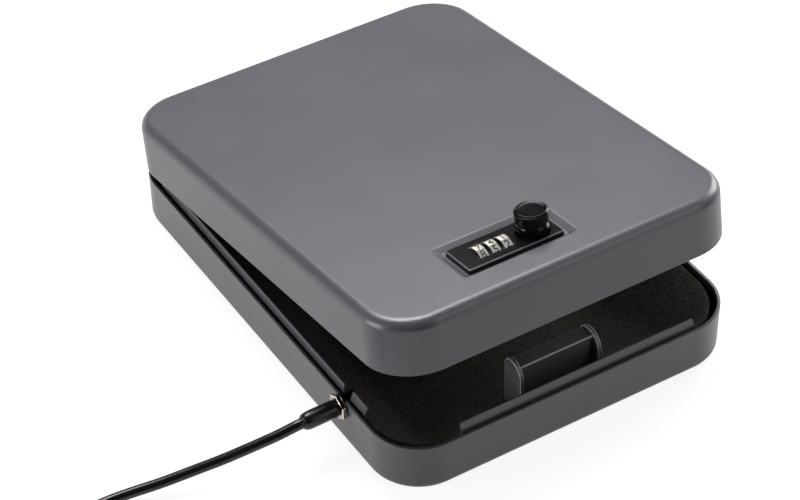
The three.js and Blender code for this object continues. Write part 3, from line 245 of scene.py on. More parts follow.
# Camera: the point it looks at, its way and distance from there, and its turn about its own axis
VIEW_TARGET = Vector((-16.929 * MM, -4.851 * MM, 24.85 * MM))
VIEW_AZIMUTH = 211.485
VIEW_ELEVATION = 40.948
VIEW_ROLL = radians(-0.769)
VIEW_DISTANCE = 1193 * MM
FOCAL_LENGTH_IN_WIDTHS = 2630.6 / 800
SENSOR_WIDTH = 36


def direction(azimuth, elevation):
    """The way out from the part, in degrees clockwise from the back wall and up from the floor."""
    turn, height = radians(azimuth), radians(elevation)
    flat = cos(height)
    return Vector((sin(turn) * flat, cos(turn) * flat, sin(height)))


def make_camera():
    back = direction(VIEW_AZIMUTH, VIEW_ELEVATION)
    right = (-back).cross(Vector((0, 0, 1))).normalized()
    up = right.cross(-back)
    turn = Matrix.Rotation(VIEW_ROLL, 3, back)
    right, up = turn @ right, turn @ up
    data = bpy.data.cameras.new("studio_camera")
    data.sensor_width = SENSOR_WIDTH
    data.sensor_fit = "HORIZONTAL"
    data.lens = FOCAL_LENGTH_IN_WIDTHS * SENSOR_WIDTH
    data.clip_start = 0.05
    data.clip_end = 50
    camera = add_object("studio_camera", data)
    place = Matrix((right, up, back)).transposed().to_4x4()
    place.translation = VIEW_TARGET + back * VIEW_DISTANCE
    camera.matrix_world = place
    bpy.context.scene.camera = camera


# Mesh helpers

def add_object(name, data):
    thing = bpy.data.objects.new(name, data)
    bpy.context.scene.collection.objects.link(thing)
    return thing


def mesh_object(name, points, faces):
    mesh = bpy.data.meshes.new(name)
    mesh.from_pydata([tuple(p) for p in points], [], faces)
    mesh.validate()
    clean = bmesh.new()
    clean.from_mesh(mesh)
    bmesh.ops.recalc_face_normals(clean, faces=clean.faces)
    clean.to_mesh(mesh)
    clean.free()
    return add_object(name, mesh)


def loft(name, rings, closed=False):
    """Skins rings of equal point counts. A closed stack joins its last ring to its first."""
    count = len(rings[0])
    points = [p for ring in rings for p in ring]
    faces = []
    spans = len(rings) if closed else len(rings) - 1
    for r in range(spans):
        a, b = r * count, (r + 1) % len(rings) * count
        for i in range(count):
            j = (i + 1) % count
            faces.append((a + i, a + j, b + j, b + i))
    if not closed:
        faces.append(tuple(reversed(range(count))))
        faces.append(tuple(range(len(points) - count, len(points))))
    return mesh_object(name, points, faces)


def rounded_rect(x0, x1, y0, y1, radius, z, steps=14):
    points = []
    for quarter, (x, y) in enumerate([(x1, y1), (x0, y1), (x0, y0), (x1, y0)]):
        cx = x + (radius if quarter in (1, 2) else -radius)
        cy = y + (radius if quarter >= 2 else -radius)
        for i in range(steps + 1):
            a = pi / 2 * (quarter + i / steps)
            points.append(Vector((cx + radius * cos(a), cy + radius * sin(a), z)))
    return points


def case_ring(inset, z, corner=CORNER_RADIUS):
    radius = max(corner - inset, MM)
    return rounded_rect(-SIDE + inset, SIDE - inset, FRONT + inset, REAR - inset, radius, z)


def quarter_round(u, v, du, dv, steps):
    """Quarter of an ellipse from (u + du, v) to (u, v + dv), rounding off the corner (u, v)."""
    angles = [pi / 2 * i / steps for i in range(steps + 1)]
    return [(u + du * (1 - sin(a)), v + dv * (1 - cos(a))) for a in angles]


def lathe(name, profile, sides):
    """Turns [radius, height] pairs about Z. Ends that lie off the axis join each other."""
    points, faces, rows = [], [], []
    for r, z in profile:
        if r < 1e-7:
            rows.append([len(points)])
            points.append(Vector((0, 0, z)))
            continue
        rows.append(list(range(len(points), len(points) + sides)))
        for i in range(sides):
            a = 2 * pi * i / sides
            points.append(Vector((r * cos(a), r * sin(a), z)))
    pairs = list(zip(rows, rows[1:]))
    if len(rows[0]) > 1 and len(rows[-1]) > 1:
        pairs.append((rows[-1], rows[0]))
    for low, high in pairs:
        for i in range(sides):
            j = (i + 1) % sides
            corners = [low[i % len(low)], low[j % len(low)], high[j % len(high)], high[i % len(high)]]
            faces.append(tuple(dict.fromkeys(corners)))
    return mesh_object(name, points, [f for f in faces if len(f) > 2])


def block(x0, x1, y0, y1, z0, z1):
    corners = [(x, y, z) for z in (z0, z1) for x, y in ((x0, y0), (x1, y0), (x1, y1), (x0, y1))]
    faces = [(3, 2, 1, 0), (4, 5, 6, 7), (0, 1, 5, 4), (1, 2, 6, 5), (2, 3, 7, 6), (3, 0, 4, 7)]
    return mesh_object("cutter", corners, faces)


def evaluated_mesh(thing):
    """The mesh of a thing with its modifiers applied."""
    bpy.context.view_layer.update()
    return bpy.data.meshes.new_from_object(thing.evaluated_get(bpy.context.evaluated_depsgraph_get()))


def carve(thing, cutters):
    for cutter in cutters:
        step = thing.modifiers.new("cut", "BOOLEAN")
        step.operation = "DIFFERENCE"
        step.solver = "EXACT"
        step.object = cutter
    old, thing.data = thing.data, evaluated_mesh(thing)
    thing.modifiers.clear()
    bpy.data.meshes.remove(old)
    for cutter in cutters:
        bpy.data.objects.remove(cutter)


def smooth(thing, sharp_degrees):
    mesh = thing.data
    mesh.polygons.foreach_set("use_smooth", [True] * len(mesh.polygons))
    mesh.set_sharp_from_angle(angle=radians(sharp_degrees))
    return thing


def even_normals(thing):
    step = thing.modifiers.new("even_normals", "WEIGHTED_NORMAL")
    step.keep_sharp = True
    return thing


def soft_edges(thing, width, segments, degrees, weld=False):
    if weld:
        join = thing.modifiers.new("weld", "WELD")
        join.merge_threshold = 0.002 * MM
    step = thing.modifiers.new("soft_edges", "BEVEL")
    step.width = width
    step.segments = segments
    step.limit_method = "ANGLE"
    step.angle_limit = radians(degrees)
    return even_normals(thing)


def move(thing, matrix):
    thing.data.transform(matrix)
    return thing


def set_finish(thing, finish):
    thing.data.materials.clear()
    thing.data.materials.append(finish)


def finish_edges(thing, finish):
    """Gives the softened edges a lighter finish of their own, a painted highlight along them."""
    thing.data.materials.append(finish)
    thing.modifiers["soft_edges"].material = 1


def dress(thing, finish, body, slot, *replaced):
    set_finish(thing, finish)
    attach(thing, body)
    if replaced:
        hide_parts(*replaced)
    return thing


def lid_box(node):
    """Lowest and highest corner of a CAD node in the lid's own frame."""
    back = LID.inverted()
    points = [back @ v.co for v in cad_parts[node].data.vertices]
    low = Vector([min(p[k] for p in points) for k in range(3)])
    high = Vector([max(p[k] for p in points) for k in range(3)])
    return low, high


# Shader helpers

def feed(tree, node, values):
    """Gives each named input of a node a plain value or another node's output."""
    for key, value in values.items():
        if isinstance(value, bpy.types.NodeSocket):
            tree.links.new(value, node.inputs[key])
        else:
            node.inputs[key].default_value = value


def add_node(tree, kind, values, **settings):
    node = tree.nodes.new("ShaderNode" + kind)
    for key, value in settings.items():
        setattr(node, key, value)
    feed(tree, node, values)
    return node


def object_place(tree):
    return add_node(tree, "TexCoord", {}).outputs["Object"]


def noise(tree, place, scale, detail=2.0, roughness=0.5):
    values = {"Vector": place, "Scale": scale, "Detail": detail, "Roughness": roughness}
    return add_node(tree, "TexNoise", values).outputs["Fac"]


def between(tree, value, low, high, to_low=0.0, to_high=1.0):
    values = {"Value": value, "From Min": low, "From Max": high, "To Min": to_low, "To Max": to_high}
    return add_node(tree, "MapRange", values).outputs["Result"]


def sums(tree, operation, a, b):
    return add_node(tree, "Math", {0: a, 1: b}, operation=operation).outputs["Value"]


def blend_colours(tree, mask, dark, light):
    values = {"Factor": mask, 6: (*dark, 1), 7: (*light, 1)}
    return add_node(tree, "Mix", values, data_type="RGBA").outputs[2]


def bump(tree, height, strength, distance):
    values = {"Height": height, "Strength": strength, "Distance": distance}
    return add_node(tree, "Bump", values).outputs["Normal"]


def new_group(name, inputs, outputs):
    tree = bpy.data.node_groups.new(name, "ShaderNodeTree")
    for label, kind, value in inputs:
        socket = tree.interface.new_socket(label, in_out="INPUT", socket_type="NodeSocket" + kind)
        socket.default_value = value
    for label, kind in outputs:
        tree.interface.new_socket(label, in_out="OUTPUT", socket_type="NodeSocket" + kind)
    return tree, tree.nodes.new("NodeGroupInput"), tree.nodes.new("NodeGroupOutput")


def make_coat_grain():
    """Fine orange-peel grain of a sprayed or baked coat."""
    tree, given, result = new_group(
        "coat_grain",
        [("Grain Scale", "Float", 1800.0), ("Colour", "Color", (0.2, 0.2, 0.2, 1)), ("Mottle", "Float", 0.08)],
        [("Colour", "Color"), ("Height", "Float"), ("Roughness Mask", "Float")],
    )
    place = object_place(tree)
    fine = noise(tree, place, given.outputs["Grain Scale"], 3.0, 0.55)
    broad = noise(tree, place, 26.0, 3.0, 0.5)
    height = sums(tree, "ADD", fine, sums(tree, "MULTIPLY", noise(tree, place, 420.0, 1.0), 0.6))
    speck = between(tree, fine, 0.32, 0.68, -1.0, 1.0)
    cloud = between(tree, broad, 0.3, 0.7, -0.35, 0.35)
    change = sums(tree, "MULTIPLY", sums(tree, "ADD", speck, cloud), given.outputs["Mottle"])
    values = {0: given.outputs["Colour"], "Scale": sums(tree, "ADD", change, 1.0)}
    tint = add_node(tree, "VectorMath", values, operation="SCALE").outputs["Vector"]
    feed(tree, result, {"Colour": tint, "Height": height, "Roughness Mask": broad})
    return tree


def make_handling():
    """Faint smears and dust on smooth surfaces, as a mask for roughness and colour."""
    masks = [("Smear", "Float"), ("Dust", "Float")]
    tree, given, result = new_group("handling_marks", [("Scale", "Float", 60.0)], masks)
    place = object_place(tree)
    cloud = noise(tree, place, given.outputs["Scale"], 5.0, 0.6)
    fleck = noise(tree, place, 900.0, 2.0, 0.5)
    feed(tree, result, {"Smear": between(tree, cloud, 0.35, 0.7), "Dust": between(tree, fleck, 0.66, 0.8)})
    return tree


COAT_GRAIN = make_coat_grain()
HANDLING = make_handling()


def new_material(name, colour, **sockets):
    material = bpy.data.materials.new(name)
    material.use_nodes = True
    material.diffuse_color = (*colour, 1)
    tree = material.node_tree
    shader = tree.nodes["Principled BSDF"]
    values = {label.replace("_", " "): value for label, value in sockets.items()}
    feed(tree, shader, {"Base Color": (*colour, 1), **values})
    return material, tree, shader


def handling_marks(tree, scale, roughness):
    """The marks' masks, and a roughness from its first to its second value with the smears."""
    marks = add_node(tree, "Group", {"Scale": scale}, node_tree=HANDLING).outputs
    return marks, between(tree, marks["Smear"], 0.0, 1.0, *roughness)


def coated(name, colour, grain_scale, mottle, roughness, bump_strength=0.1, bump_distance=0.03 * MM, **sockets):
    """A sprayed or baked coat: grain in colour and height, broad change in roughness."""
    material, tree, shader = new_material(name, colour, **sockets)
    values = {"Grain Scale": grain_scale, "Colour": (*colour, 1), "Mottle": mottle}
    grain = add_node(tree, "Group", values, node_tree=COAT_GRAIN).outputs
    rough = between(tree, grain["Roughness Mask"], 0.3, 0.7, *roughness)
    relief = bump(tree, grain["Height"], bump_strength, bump_distance)
    feed(tree, shader, {"Base Color": grain["Colour"], "Roughness": rough, "Normal": relief})
    return material


def smooth_finish(name, colour, roughness, smear_scale, dust_colour, dust_amount, **sockets):
    """A smooth moulded or plated surface with faint handling marks."""
    material, tree, shader = new_material(name, colour, **sockets)
    marks, rough = handling_marks(tree, smear_scale, roughness)
    mask = sums(tree, "MULTIPLY", marks["Dust"], dust_amount)
    feed(tree, shader, {"Base Color": blend_colours(tree, mask, colour, dust_colour), "Roughness": rough})
    return material


def brushed(name, colour, roughness, grain_scale=500.0):
    """Plated or bare metal with a drawn grain."""
    material, tree, shader = new_material(name, colour, Metallic=1.0)
    rough = handling_marks(tree, 140.0, roughness)[1]
    grain = noise(tree, object_place(tree), grain_scale, 3.0, 0.6)
    tint = blend_colours(tree, grain, tuple(c * 0.86 for c in colour), colour)
    feed(tree, shader, {"Base Color": tint, "Roughness": rough, "Normal": bump(tree, grain, 0.12, 0.02 * MM)})
    return material


def make_foam():
    """Open-cell foam: dark pits between paler cell walls, with soft broad patches."""
    dark, light = (0.001, 0.0008, 0.0007), (0.085, 0.074, 0.066)
    material, tree, shader = new_material("foam", light, Roughness=0.95, Specular_IOR_Level=0.2,
                                          Sheen_Weight=0.08, Sheen_Roughness=0.6)
    place = object_place(tree)
    cells = add_node(tree, "TexVoronoi", {"Vector": place, "Scale": 1000.0}, feature="F1")
    pits = between(tree, cells.outputs["Distance"], 0.15, 0.75)
    fine = between(tree, noise(tree, place, 1500.0, 2.0, 0.6), 0.3, 0.7)
    patches = noise(tree, place, 38.0, 3.0, 0.5)
    texture = sums(tree, "ADD", sums(tree, "MULTIPLY", pits, 0.35), sums(tree, "MULTIPLY", fine, 0.65))
    spread = between(tree, texture, 0.22, 0.85)
    mask = sums(tree, "MULTIPLY", spread, between(tree, patches, 0.25, 0.75, 0.75, 1.2))
    relief = bump(tree, texture, 0.8, 0.3 * MM)
    feed(tree, shader, {"Base Color": blend_colours(tree, mask, dark, light), "Normal": relief})
    return material


def make_dial_face():
    """Cream wheel faces with a little grime worn into them."""
    cream, worn = (0.8, 0.77, 0.7), (0.34, 0.31, 0.26)
    material, tree, shader = new_material("dial_ivory", cream, Metallic=0.25)
    marks, rough = handling_marks(tree, 700.0, (0.25, 0.5))
    grime = sums(tree, "MULTIPLY", marks["Smear"], 0.5)
    feed(tree, shader, {"Base Color": blend_colours(tree, grime, cream, worn), "Roughness": rough})
    return material


POWDER = coated("powder_coat", (0.104, 0.107, 0.122), 2300.0, 0.06, (0.31, 0.35), 0.14, 0.05 * MM,
                Specular_IOR_Level=0.7)
# Near-black painted shade for the case's inner faces
INNER_PAINTED_SHADE = coated("inner_painted_shade", (0.012, 0.012, 0.013), 2300.0, 0.15, (0.5, 0.6), 0.2, 0.05 * MM)
BLACK_COAT = coated("black_coat", (0.12, 0.122, 0.134), 1600.0, 0.1, (0.24, 0.3), Specular_IOR_Level=0.7)
LOCK_BLACK = coated("lock_black", (0.010, 0.010, 0.011), 1500.0, 0.45, (0.15, 0.21), Specular_IOR_Level=0.3)
# Grey painted highlight along the face plate's softened edges
PLATE_EDGE_PAINTED_HIGHLIGHT = coated("plate_edge_painted_highlight", (0.11, 0.11, 0.12), 1500.0, 0.3, (0.2, 0.3))
# Light grey painted highlight along the strike bracket's softened edges and front fold
STRIKE_EDGE_PAINTED_HIGHLIGHT = coated("strike_edge_painted_highlight", (0.55, 0.55, 0.57), 1500.0, 0.3, (0.22, 0.34))
STRAP = coated("strap_weave", (0.01, 0.01, 0.011), 1100.0, 0.35, (0.7, 0.85), 0.5, 0.1 * MM)
FOAM = make_foam()
DIAL_IVORY = make_dial_face()
# Near-black painted shade on the dial wheels' end faces, with faint dust
DIAL_END_PAINTED_SHADE = smooth_finish("dial_end_painted_shade", (0.012, 0.011, 0.010), (0.4, 0.6), 300.0, (0.06, 0.05, 0.04), 0.3)
FIGURE_INK = smooth_finish("figure_ink", (0.008, 0.008, 0.009), (0.4, 0.55), 300.0, (0.03, 0.03, 0.03), 0.2)
BOOT_BLACK = smooth_finish("boot_black", (0.010, 0.010, 0.011), (0.24, 0.34), 90.0, (0.06, 0.06, 0.06), 0.2)
GLOSS_BLACK = smooth_finish("gloss_black", (0.006, 0.006, 0.007), (0.13, 0.2), 90.0, (0.05, 0.05, 0.05), 0.15,
                            Specular_IOR_Level=0.22)
VINYL = smooth_finish("vinyl", (0.009, 0.009, 0.010), (0.2, 0.3), 120.0, (0.05, 0.05, 0.05), 0.2)
ANCHOR_PLATING = brushed("anchor_plating", (0.40, 0.33, 0.24), (0.14, 0.26))
# Pale plating that paints highlights along the anchor nut's softened edges
NUT_EDGE_PAINTED_HIGHLIGHT = brushed("nut_edge_painted_highlight", (0.95, 0.9, 0.82), (0.1, 0.2))
# Dark plating that paints the shade on the anchor stud inside the wall
STUD_PAINTED_SHADE = brushed("stud_painted_shade", (0.10, 0.095, 0.085), (0.25, 0.4))
STEEL = brushed("plated_steel", (0.62, 0.62, 0.61), (0.26, 0.4), 420.0)
BRASS = brushed("brass", (0.72, 0.52, 0.22), (0.22, 0.36), 520.0)


# Tether

def sleeve_point(past):
    """A point on the anchor's axis, measured from the end of the cable sleeve."""
    return TETHER @ Vector((-(SLEEVE_START + SLEEVE_LENGTH + past), 0, 0))


def set_on_anchor(thing, start):
    """Lays a thing made along Z on the anchor's axis, with its foot at start from the wall."""
    return move(thing, TETHER @ Matrix.Rotation(-pi / 2, 4, "Y") @ Matrix.Translation((0, 0, start)))


def around_coil(angle, radius, height):
    a = radians(angle)
    return COIL_CENTRE + Vector((radius * cos(a), radius * sin(a), height))


def coil_point(angle):
    """Centre of the cable in the coil, at a total turning angle in degrees."""
    def change(start):
        t = min(max((angle - start) / COIL_CHANGE, 0), 1)
        return t * t * (3 - 2 * t)

    radius = COIL_TURN_RADII[0]
    for start, before, after in COIL_CHANGES:
        radius += (COIL_TURN_RADII[after] - COIL_TURN_RADII[before]) * change(start)
    low, high = COIL_LAYER_HEIGHTS
    return around_coil(angle, radius, low + (high - low) * change(COIL_CLIMB))


def tether_points():
    points = [sleeve_point(-CABLE_IN_SLEEVE), sleeve_point(CABLE_STRAIGHT)]
    points += [Vector(p) for p in LEAD_POINTS]
    points.append(around_coil(COIL_ENTRY_ANGLE, COIL_ENTRY_RADIUS, COIL_LAYER_HEIGHTS[0]))
    points += [coil_point(angle) for angle in COIL_ANGLES]
    return points + [Vector(p) for p in TAIL_POINTS]


def cable_curve(name, points):
    data = bpy.data.curves.new(name, "CURVE")
    data.dimensions = "3D"
    data.bevel_depth = CABLE_RADIUS
    data.bevel_resolution = 6
    data.resolution_u = 4
    data.use_fill_caps = True
    spline = data.splines.new("BEZIER")
    spline.bezier_points.add(len(points) - 1)
    for knot, place in zip(spline.bezier_points, points):
        knot.co = place
        knot.handle_left_type = knot.handle_right_type = "AUTO"
    return add_object(name, data)


def eye_points():
    """The eye's centre line in (x, y), out from the ferrule and back to it."""
    start = FIT * 2 + FERRULE_LENGTH
    gap = CABLE_RADIUS + FIT
    wide = EYE_WIDTH / 2 - FIT
    end = start + EYE_LENGTH - EYE_TAKEN_UP
    half = [
        (start, gap), (start + CABLE_STRAIGHT, gap), (start + EYE_LENGTH * 0.26, gap + CABLE_RADIUS),
        (start + EYE_LENGTH * 0.48, wide * 0.84), (end - EYE_LENGTH * 0.28, wide),
        (end - EYE_LENGTH * 0.09, wide * 0.68),
    ]
    return half + [(end, 0)] + [(x, -y) for x, y in reversed(half)]


def tail_frame():
    last, before = Vector(TAIL_POINTS[-1]), Vector(TAIL_POINTS[-2])
    heading = atan2(last.y - before.y, last.x - before.x)
    return Matrix.Translation(last) @ Matrix.Rotation(heading, 4, "Z")


def make_ferrule():
    """Oval crimped sleeve with two pressed grooves."""
    rings = []
    for along, pressed in FERRULE_SHAPE:
        h, w = CABLE_RADIUS + (1 - pressed) * MM, CABLE_RADIUS * 2 + (1 - pressed) * MM
        ring = rounded_rect(-w, w, -h, h, h * 0.92, 0, 8)
        rings.append([Vector((FIT + FERRULE_LENGTH * along, p.x, p.y)) for p in ring])
    return smooth(loft("crimped_ferrule", rings), 50)


def make_coil_strap():
    """Flat strap closed round the coil."""
    def outline(grow, corner):
        x0 = COIL_TURN_RADII[-1] - CABLE_RADIUS - STRAP_INNER_SLACK
        x1 = COIL_TURN_RADII[0] + CABLE_RADIUS + STRAP_SLACK
        z1 = COIL_LAYER_HEIGHTS[1] + CABLE_RADIUS + STRAP_SLACK
        return rounded_rect(x0 - grow, x1 + grow, STRAP_BOTTOM - grow, z1 + grow, corner, 0, 8)

    inner, outer = outline(0, STRAP_CORNER), outline(STRAP_THICKNESS, STRAP_CORNER + 0.5 * MM)
    side = STRAP_WIDTH / 2
    rings = [[Vector((p.x, y, p.y)) for p in points]
             for points, y in ((inner, -side), (outer, -side), (outer, side), (inner, side))]
    strap = loft("coil_strap", rings, closed=True)
    move(strap, Matrix.Translation(COIL_CENTRE) @ Matrix.Rotation(STRAP_ANGLE, 4, "Z"))
    return smooth(soft_edges(strap, 0.15 * MM, 2, 50), 40)


def make_cable_sleeve():
    """Moulded sleeve over the swaged end, open where the cable goes in."""
    r, end, bore = SLEEVE_RADIUS, SLEEVE_LENGTH, NECK_RADIUS + FIT
    mouth = CABLE_RADIUS + 0.05 * MM
    lip = mouth + SLEEVE_LIP
    profile = [(bore, 0), (r * 0.93, 0), (r * 0.98, 0.4 * MM), (r, 1.2 * MM), (r, end - SLEEVE_TAPER - MM)]
    for back, ahead in quarter_round(0, 0, 1, 1, 12)[::-1]:
        profile.append((lip + (r - lip) * (1 - back) ** 0.8, end - SLEEVE_NOSE - SLEEVE_TAPER * ahead))
    floor = end - SLEEVE_MOUTH_DEPTH
    profile += [(mouth + 0.12 * MM, end), (mouth, end - 0.1 * MM), (mouth, floor), (0, floor)]
    profile += [(0, end / 2), (bore, end / 2)]
    return smooth(set_on_anchor(lathe("cable_boot", profile, 64), SLEEVE_START), 40)


def nut_ring(limit, z, sides=72):
    """A hexagon cut off by a circle, as a turned chamfer leaves it."""
    points = []
    for i in range(sides):
        a = 2 * pi * i / sides
        from_flat = (a - pi / 6) % (pi / 3) - pi / 6
        r = min(NUT_ACROSS_FLATS / 2 / cos(from_flat), limit)
        points.append(Vector((r * cos(a + pi / 2), r * sin(a + pi / 2), z)))
    return points


def make_anchor_nut():
    """Hexagon nut with turned chamfers on both faces."""
    flat, top = NUT_ACROSS_FLATS / 2, NUT_THICKNESS
    corner, face, bore = flat / cos(pi / 6), flat * NUT_FACE_SHARE, NECK_RADIUS + 0.1 * MM
    half = [(bore, 0), (face, 0), (corner, NUT_CHAMFER)]
    outline = half + [(limit, top - z) for limit, z in reversed(half)]
    nut = loft("anchor_hexagon", [nut_ring(limit, z) for limit, z in outline], closed=True)
    return smooth(soft_edges(set_on_anchor(nut, FIT), 0.22 * MM, 2, 25), 40)


def make_tether():
    points = tether_points()
    cable = cable_curve("tether_cable", points)
    dress(cable, VINYL, "base", "vinyl", "cable_lead", "cable_coil", "cable_tail")
    place = tail_frame()
    eye = cable_curve("tether_eye", [place @ Vector((x, y, 0)) for x, y in eye_points()])
    dress(eye, VINYL, "base", "vinyl", "cable_eye")
    ferrule = dress(move(make_ferrule(), place), STEEL, "base", "plated_steel", "cable_ferrule")
    strap = dress(make_coil_strap(), STRAP, "base", "vinyl", "coil_tie")
    dress(make_cable_sleeve(), BOOT_BLACK, "base", "gloss_black", "cable_sleeve")
    nut = dress(make_anchor_nut(), ANCHOR_PLATING, "base", "anchor_plating", "anchor_nut")
    # Painted highlights along the nut's edges
    finish_edges(nut, NUT_EDGE_PAINTED_HIGHLIGHT)


# Case

def knuckle_slots(first, rim_z, side):
    """Cutters for the slots in a rear rim where every second hinge tab passes."""
    length = (HINGE_LENGTH - KNUCKLE_GAP * (HINGE_KNUCKLES - 1)) / HINGE_KNUCKLES
    z = sorted((rim_z - side * SHEET, rim_z + side * TAB_REACH))
    cutters = []
    for i in range(first, HINGE_KNUCKLES, 2):
        x0 = -HINGE_LENGTH / 2 + i * (length + KNUCKLE_GAP)
        cutters.append(block(x0 - FIT, x0 + length + FIT, REAR - SHEET * 2, REAR + SHEET, *z))
    return cutters


def wall_rings(closed, towards, fillet, length):
    """Rings of a pressed case wall, outside from the closed end to the rim and back up inside."""
    outside = quarter_round(WALL_DRAFT, closed, fillet, towards * fillet, 10)
    lip = quarter_round(0, closed + towards * length, RIM_ROUND, -towards * RIM_ROUND, 4)[::-1]
    lip += [(SHEET - inset, z) for inset, z in reversed(lip)]
    fillet -= SHEET
    inside = quarter_round(SHEET + WALL_DRAFT, closed + towards * SHEET, fillet, towards * fillet, 8)
    return outside + lip + inside[::-1]


def darken_inside(shell, closed, towards, length):
    """Paints shade on the inner faces short of the rim, with a near-black finish."""
    shell.data.materials.append(INNER_PAINTED_SHADE)
    for face in shell.data.polygons:
        place, normal = face.center, face.normal
        depth = (place.z - closed) * towards
        facing_in = normal.x * place.x + normal.y * place.y < -0.2 * hypot(place.x, place.y)
        on_floor = normal.z * towards > 0.5 and depth < length / 2
        if (facing_in or on_floor) and SHEET * 0.5 < depth < length - RIM_ROUND:
            face.material_index = 1


def make_tray():
    flat = WALL_DRAFT + BASE_FILLET + TRAY_SEAM
    rings = [(flat, 0), *wall_rings(0, 1, BASE_FILLET, BASE_HEIGHT), (flat, SHEET)]
    tray = loft("pressed_tray", [case_ring(inset, z) for inset, z in rings])
    half, deep = NECK_RADIUS + NECK_CLEARANCE, SHEET * 2
    notch = lathe("cutter", [(0, -deep), (half, -deep), (half, deep), (0, deep)], 48)
    place = Matrix.Translation((-SIDE + SHEET / 2, TETHER_Y, TETHER_Z))
    move(notch, place @ Matrix.Rotation(pi / 2, 4, "Y"))
    slit = block(-SIDE - SHEET, -SIDE + deep, TETHER_Y - half, TETHER_Y + half, TETHER_Z, BASE_HEIGHT + SHEET)
    carve(tray, [notch, slit, *knuckle_slots(0, BASE_HEIGHT, -1)])
    even_normals(smooth(tray, 40))
    dress(tray, POWDER, "base", "powder_coat", "base_shell")
    # Painted shade on the tray's inner faces
    darken_inside(tray, 0, 1, BASE_HEIGHT)


def pocket_ring(grow, z, plate, share=1.0):
    """Outline round the face plate: at share 0 close to the plate, at share 1 the pocket's own edge."""
    def reach(side):
        return side * (POCKET_FLOOR_SHARE + (1 - POCKET_FLOOR_SHARE) * share) + grow

    low, high = plate
    half = PLATE_WIDTH / 2
    corner = max(POCKET_CORNER * (0.5 + share / 2) + grow / 2, POCKET_LEAST_CORNER)
    return rounded_rect(low.x - reach(POCKET_LEFT), high.x + reach(POCKET_RIGHT),
                        LOCK_Y - half - reach(POCKET_FRONT), LOCK_Y + half + reach(POCKET_BACK), corner, z)


def pocket_rise(share):
    """Height in the pocket: steep beside the plate, and rolling over into the lid's top."""
    def fall(away):
        return POCKET_EVENNESS * away + (1 - POCKET_EVENNESS) * away ** 2

    away, eased = 1 - share, fall(POCKET_TOP_ROLL) / 2
    if away > POCKET_TOP_ROLL:
        return 1 - (fall(away) - eased) / (1 - eased)
    return 1 - eased * (away / POCKET_TOP_ROLL) ** 2 / (1 - eased)


def make_lid():
    plate = lid_box("lock_faceplate")
    low, high = lid_box("lock_housing")
    wall = HOUSING_WALL

    def opening(z):
        return rounded_rect(low.x + wall, high.x - wall, low.y + wall, high.y - wall, HOUSING_CORNER, z)

    def pocket(depth, shares):
        """The pocket's outer face at depth 0, or its inner face at the sheet's thickness."""
        floor = POCKET_FLOOR - depth
        return [pocket_ring(depth + POCKET_ROLL * t, floor + POCKET_DEPTH * pocket_rise(t), plate, t)
                for t in shares]

    flat = WALL_DRAFT + LID_FILLET + LID_SEAM
    under = LID_HEIGHT - SHEET
    rings = [opening(POCKET_FLOOR), *pocket(0, POCKET_STEPS)]
    rings += [pocket_ring(POCKET_ROLL + LID_SEAM, LID_HEIGHT, plate), case_ring(flat, LID_HEIGHT)]
    rings += [case_ring(inset, z) for inset, z in wall_rings(LID_HEIGHT, -1, LID_FILLET, LID_HEIGHT)]
    rings += [case_ring(flat, under), pocket_ring(SHEET + POCKET_ROLL + LID_SEAM, under, plate)]
    rings += [*pocket(SHEET, reversed(POCKET_STEPS)), opening(POCKET_FLOOR - SHEET)]
    lid = loft("pressed_lid", rings, closed=True)
    carve(lid, knuckle_slots(1, 0, 1))
    even_normals(smooth(lid, 40))
    dress(lid, POWDER, "lid", "powder_coat", "lid_shell")
    # Painted shade on the lid's inner faces
    darken_inside(lid, LID_HEIGHT, -1, LID_HEIGHT)
    move(lid, LID)


# Anti-pry flanges

def flange_section(drop, lean_in):
    """Section of a flange: distance in from the wall's inner face, and height. Its top leans in."""
    top = BASE_HEIGHT + FLANGE_RISE
    foot = BASE_HEIGHT - FLANGE_DEPTH
    weld_top = foot + FLANGE_WELD_HEIGHT
    bend_top = weld_top + FLANGE_JOGGLE
    lean_start = BASE_HEIGHT - FLANGE_LEAN_START
    shoulder = top - FLANGE_TOP_ROUND
    near, far, weld = FLANGE_GAP, FLANGE_GAP + FLANGE_THICKNESS, FIT + FLANGE_THICKNESS

    def row(u, z):
        z = min(z, top - drop)
        return u + lean_in * max(0, (z - lean_start) / (top - lean_start)) ** FLANGE_LEAN_CURVE, z

    rises = [lean_start + (shoulder - lean_start) * t for t in FLANGE_LEAN_STEPS]
    points = [(FIT, foot), (weld, foot), (weld, weld_top), (far, bend_top), *(row(far, z) for z in rises)]
    for edge, inward in ((far, -FLANGE_TOP_ROUND), (near, FLANGE_TOP_ROUND)):
        points += [row(*p) for p in quarter_round(edge, top, inward, -FLANGE_TOP_ROUND, 4)[1:]]
    return points + [*(row(near, z) for z in reversed(rises)), (near, bend_top), (FIT, weld_top)]


def make_flange(node, name, wall, lean_in, first_radius, last_radius):
    """A flange strip with rounded upper corners, welded to the front, left or right wall."""
    low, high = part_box(node)
    first, last = (low.x, high.x) if wall == "front" else (low.y, high.y)
    stops = quarter_round(first, 0, first_radius, first_radius, 6)[::-1]
    stops += quarter_round(last, 0, -last_radius, last_radius, 6)
    rings = []
    for place, drop in stops:
        section = flange_section(drop, lean_in)
        if wall == "front":
            rings.append([Vector((place, FRONT + SHEET + u, z)) for u, z in section])
        else:
            side = -1 if wall == "left" else 1
            rings.append([Vector((side * (SIDE - SHEET - u), place, z)) for u, z in section])
    flange = loft(name, rings)
    even_normals(smooth(flange, 40))
    dress(flange, POWDER, "base", "powder_coat", node)


# Strike bracket

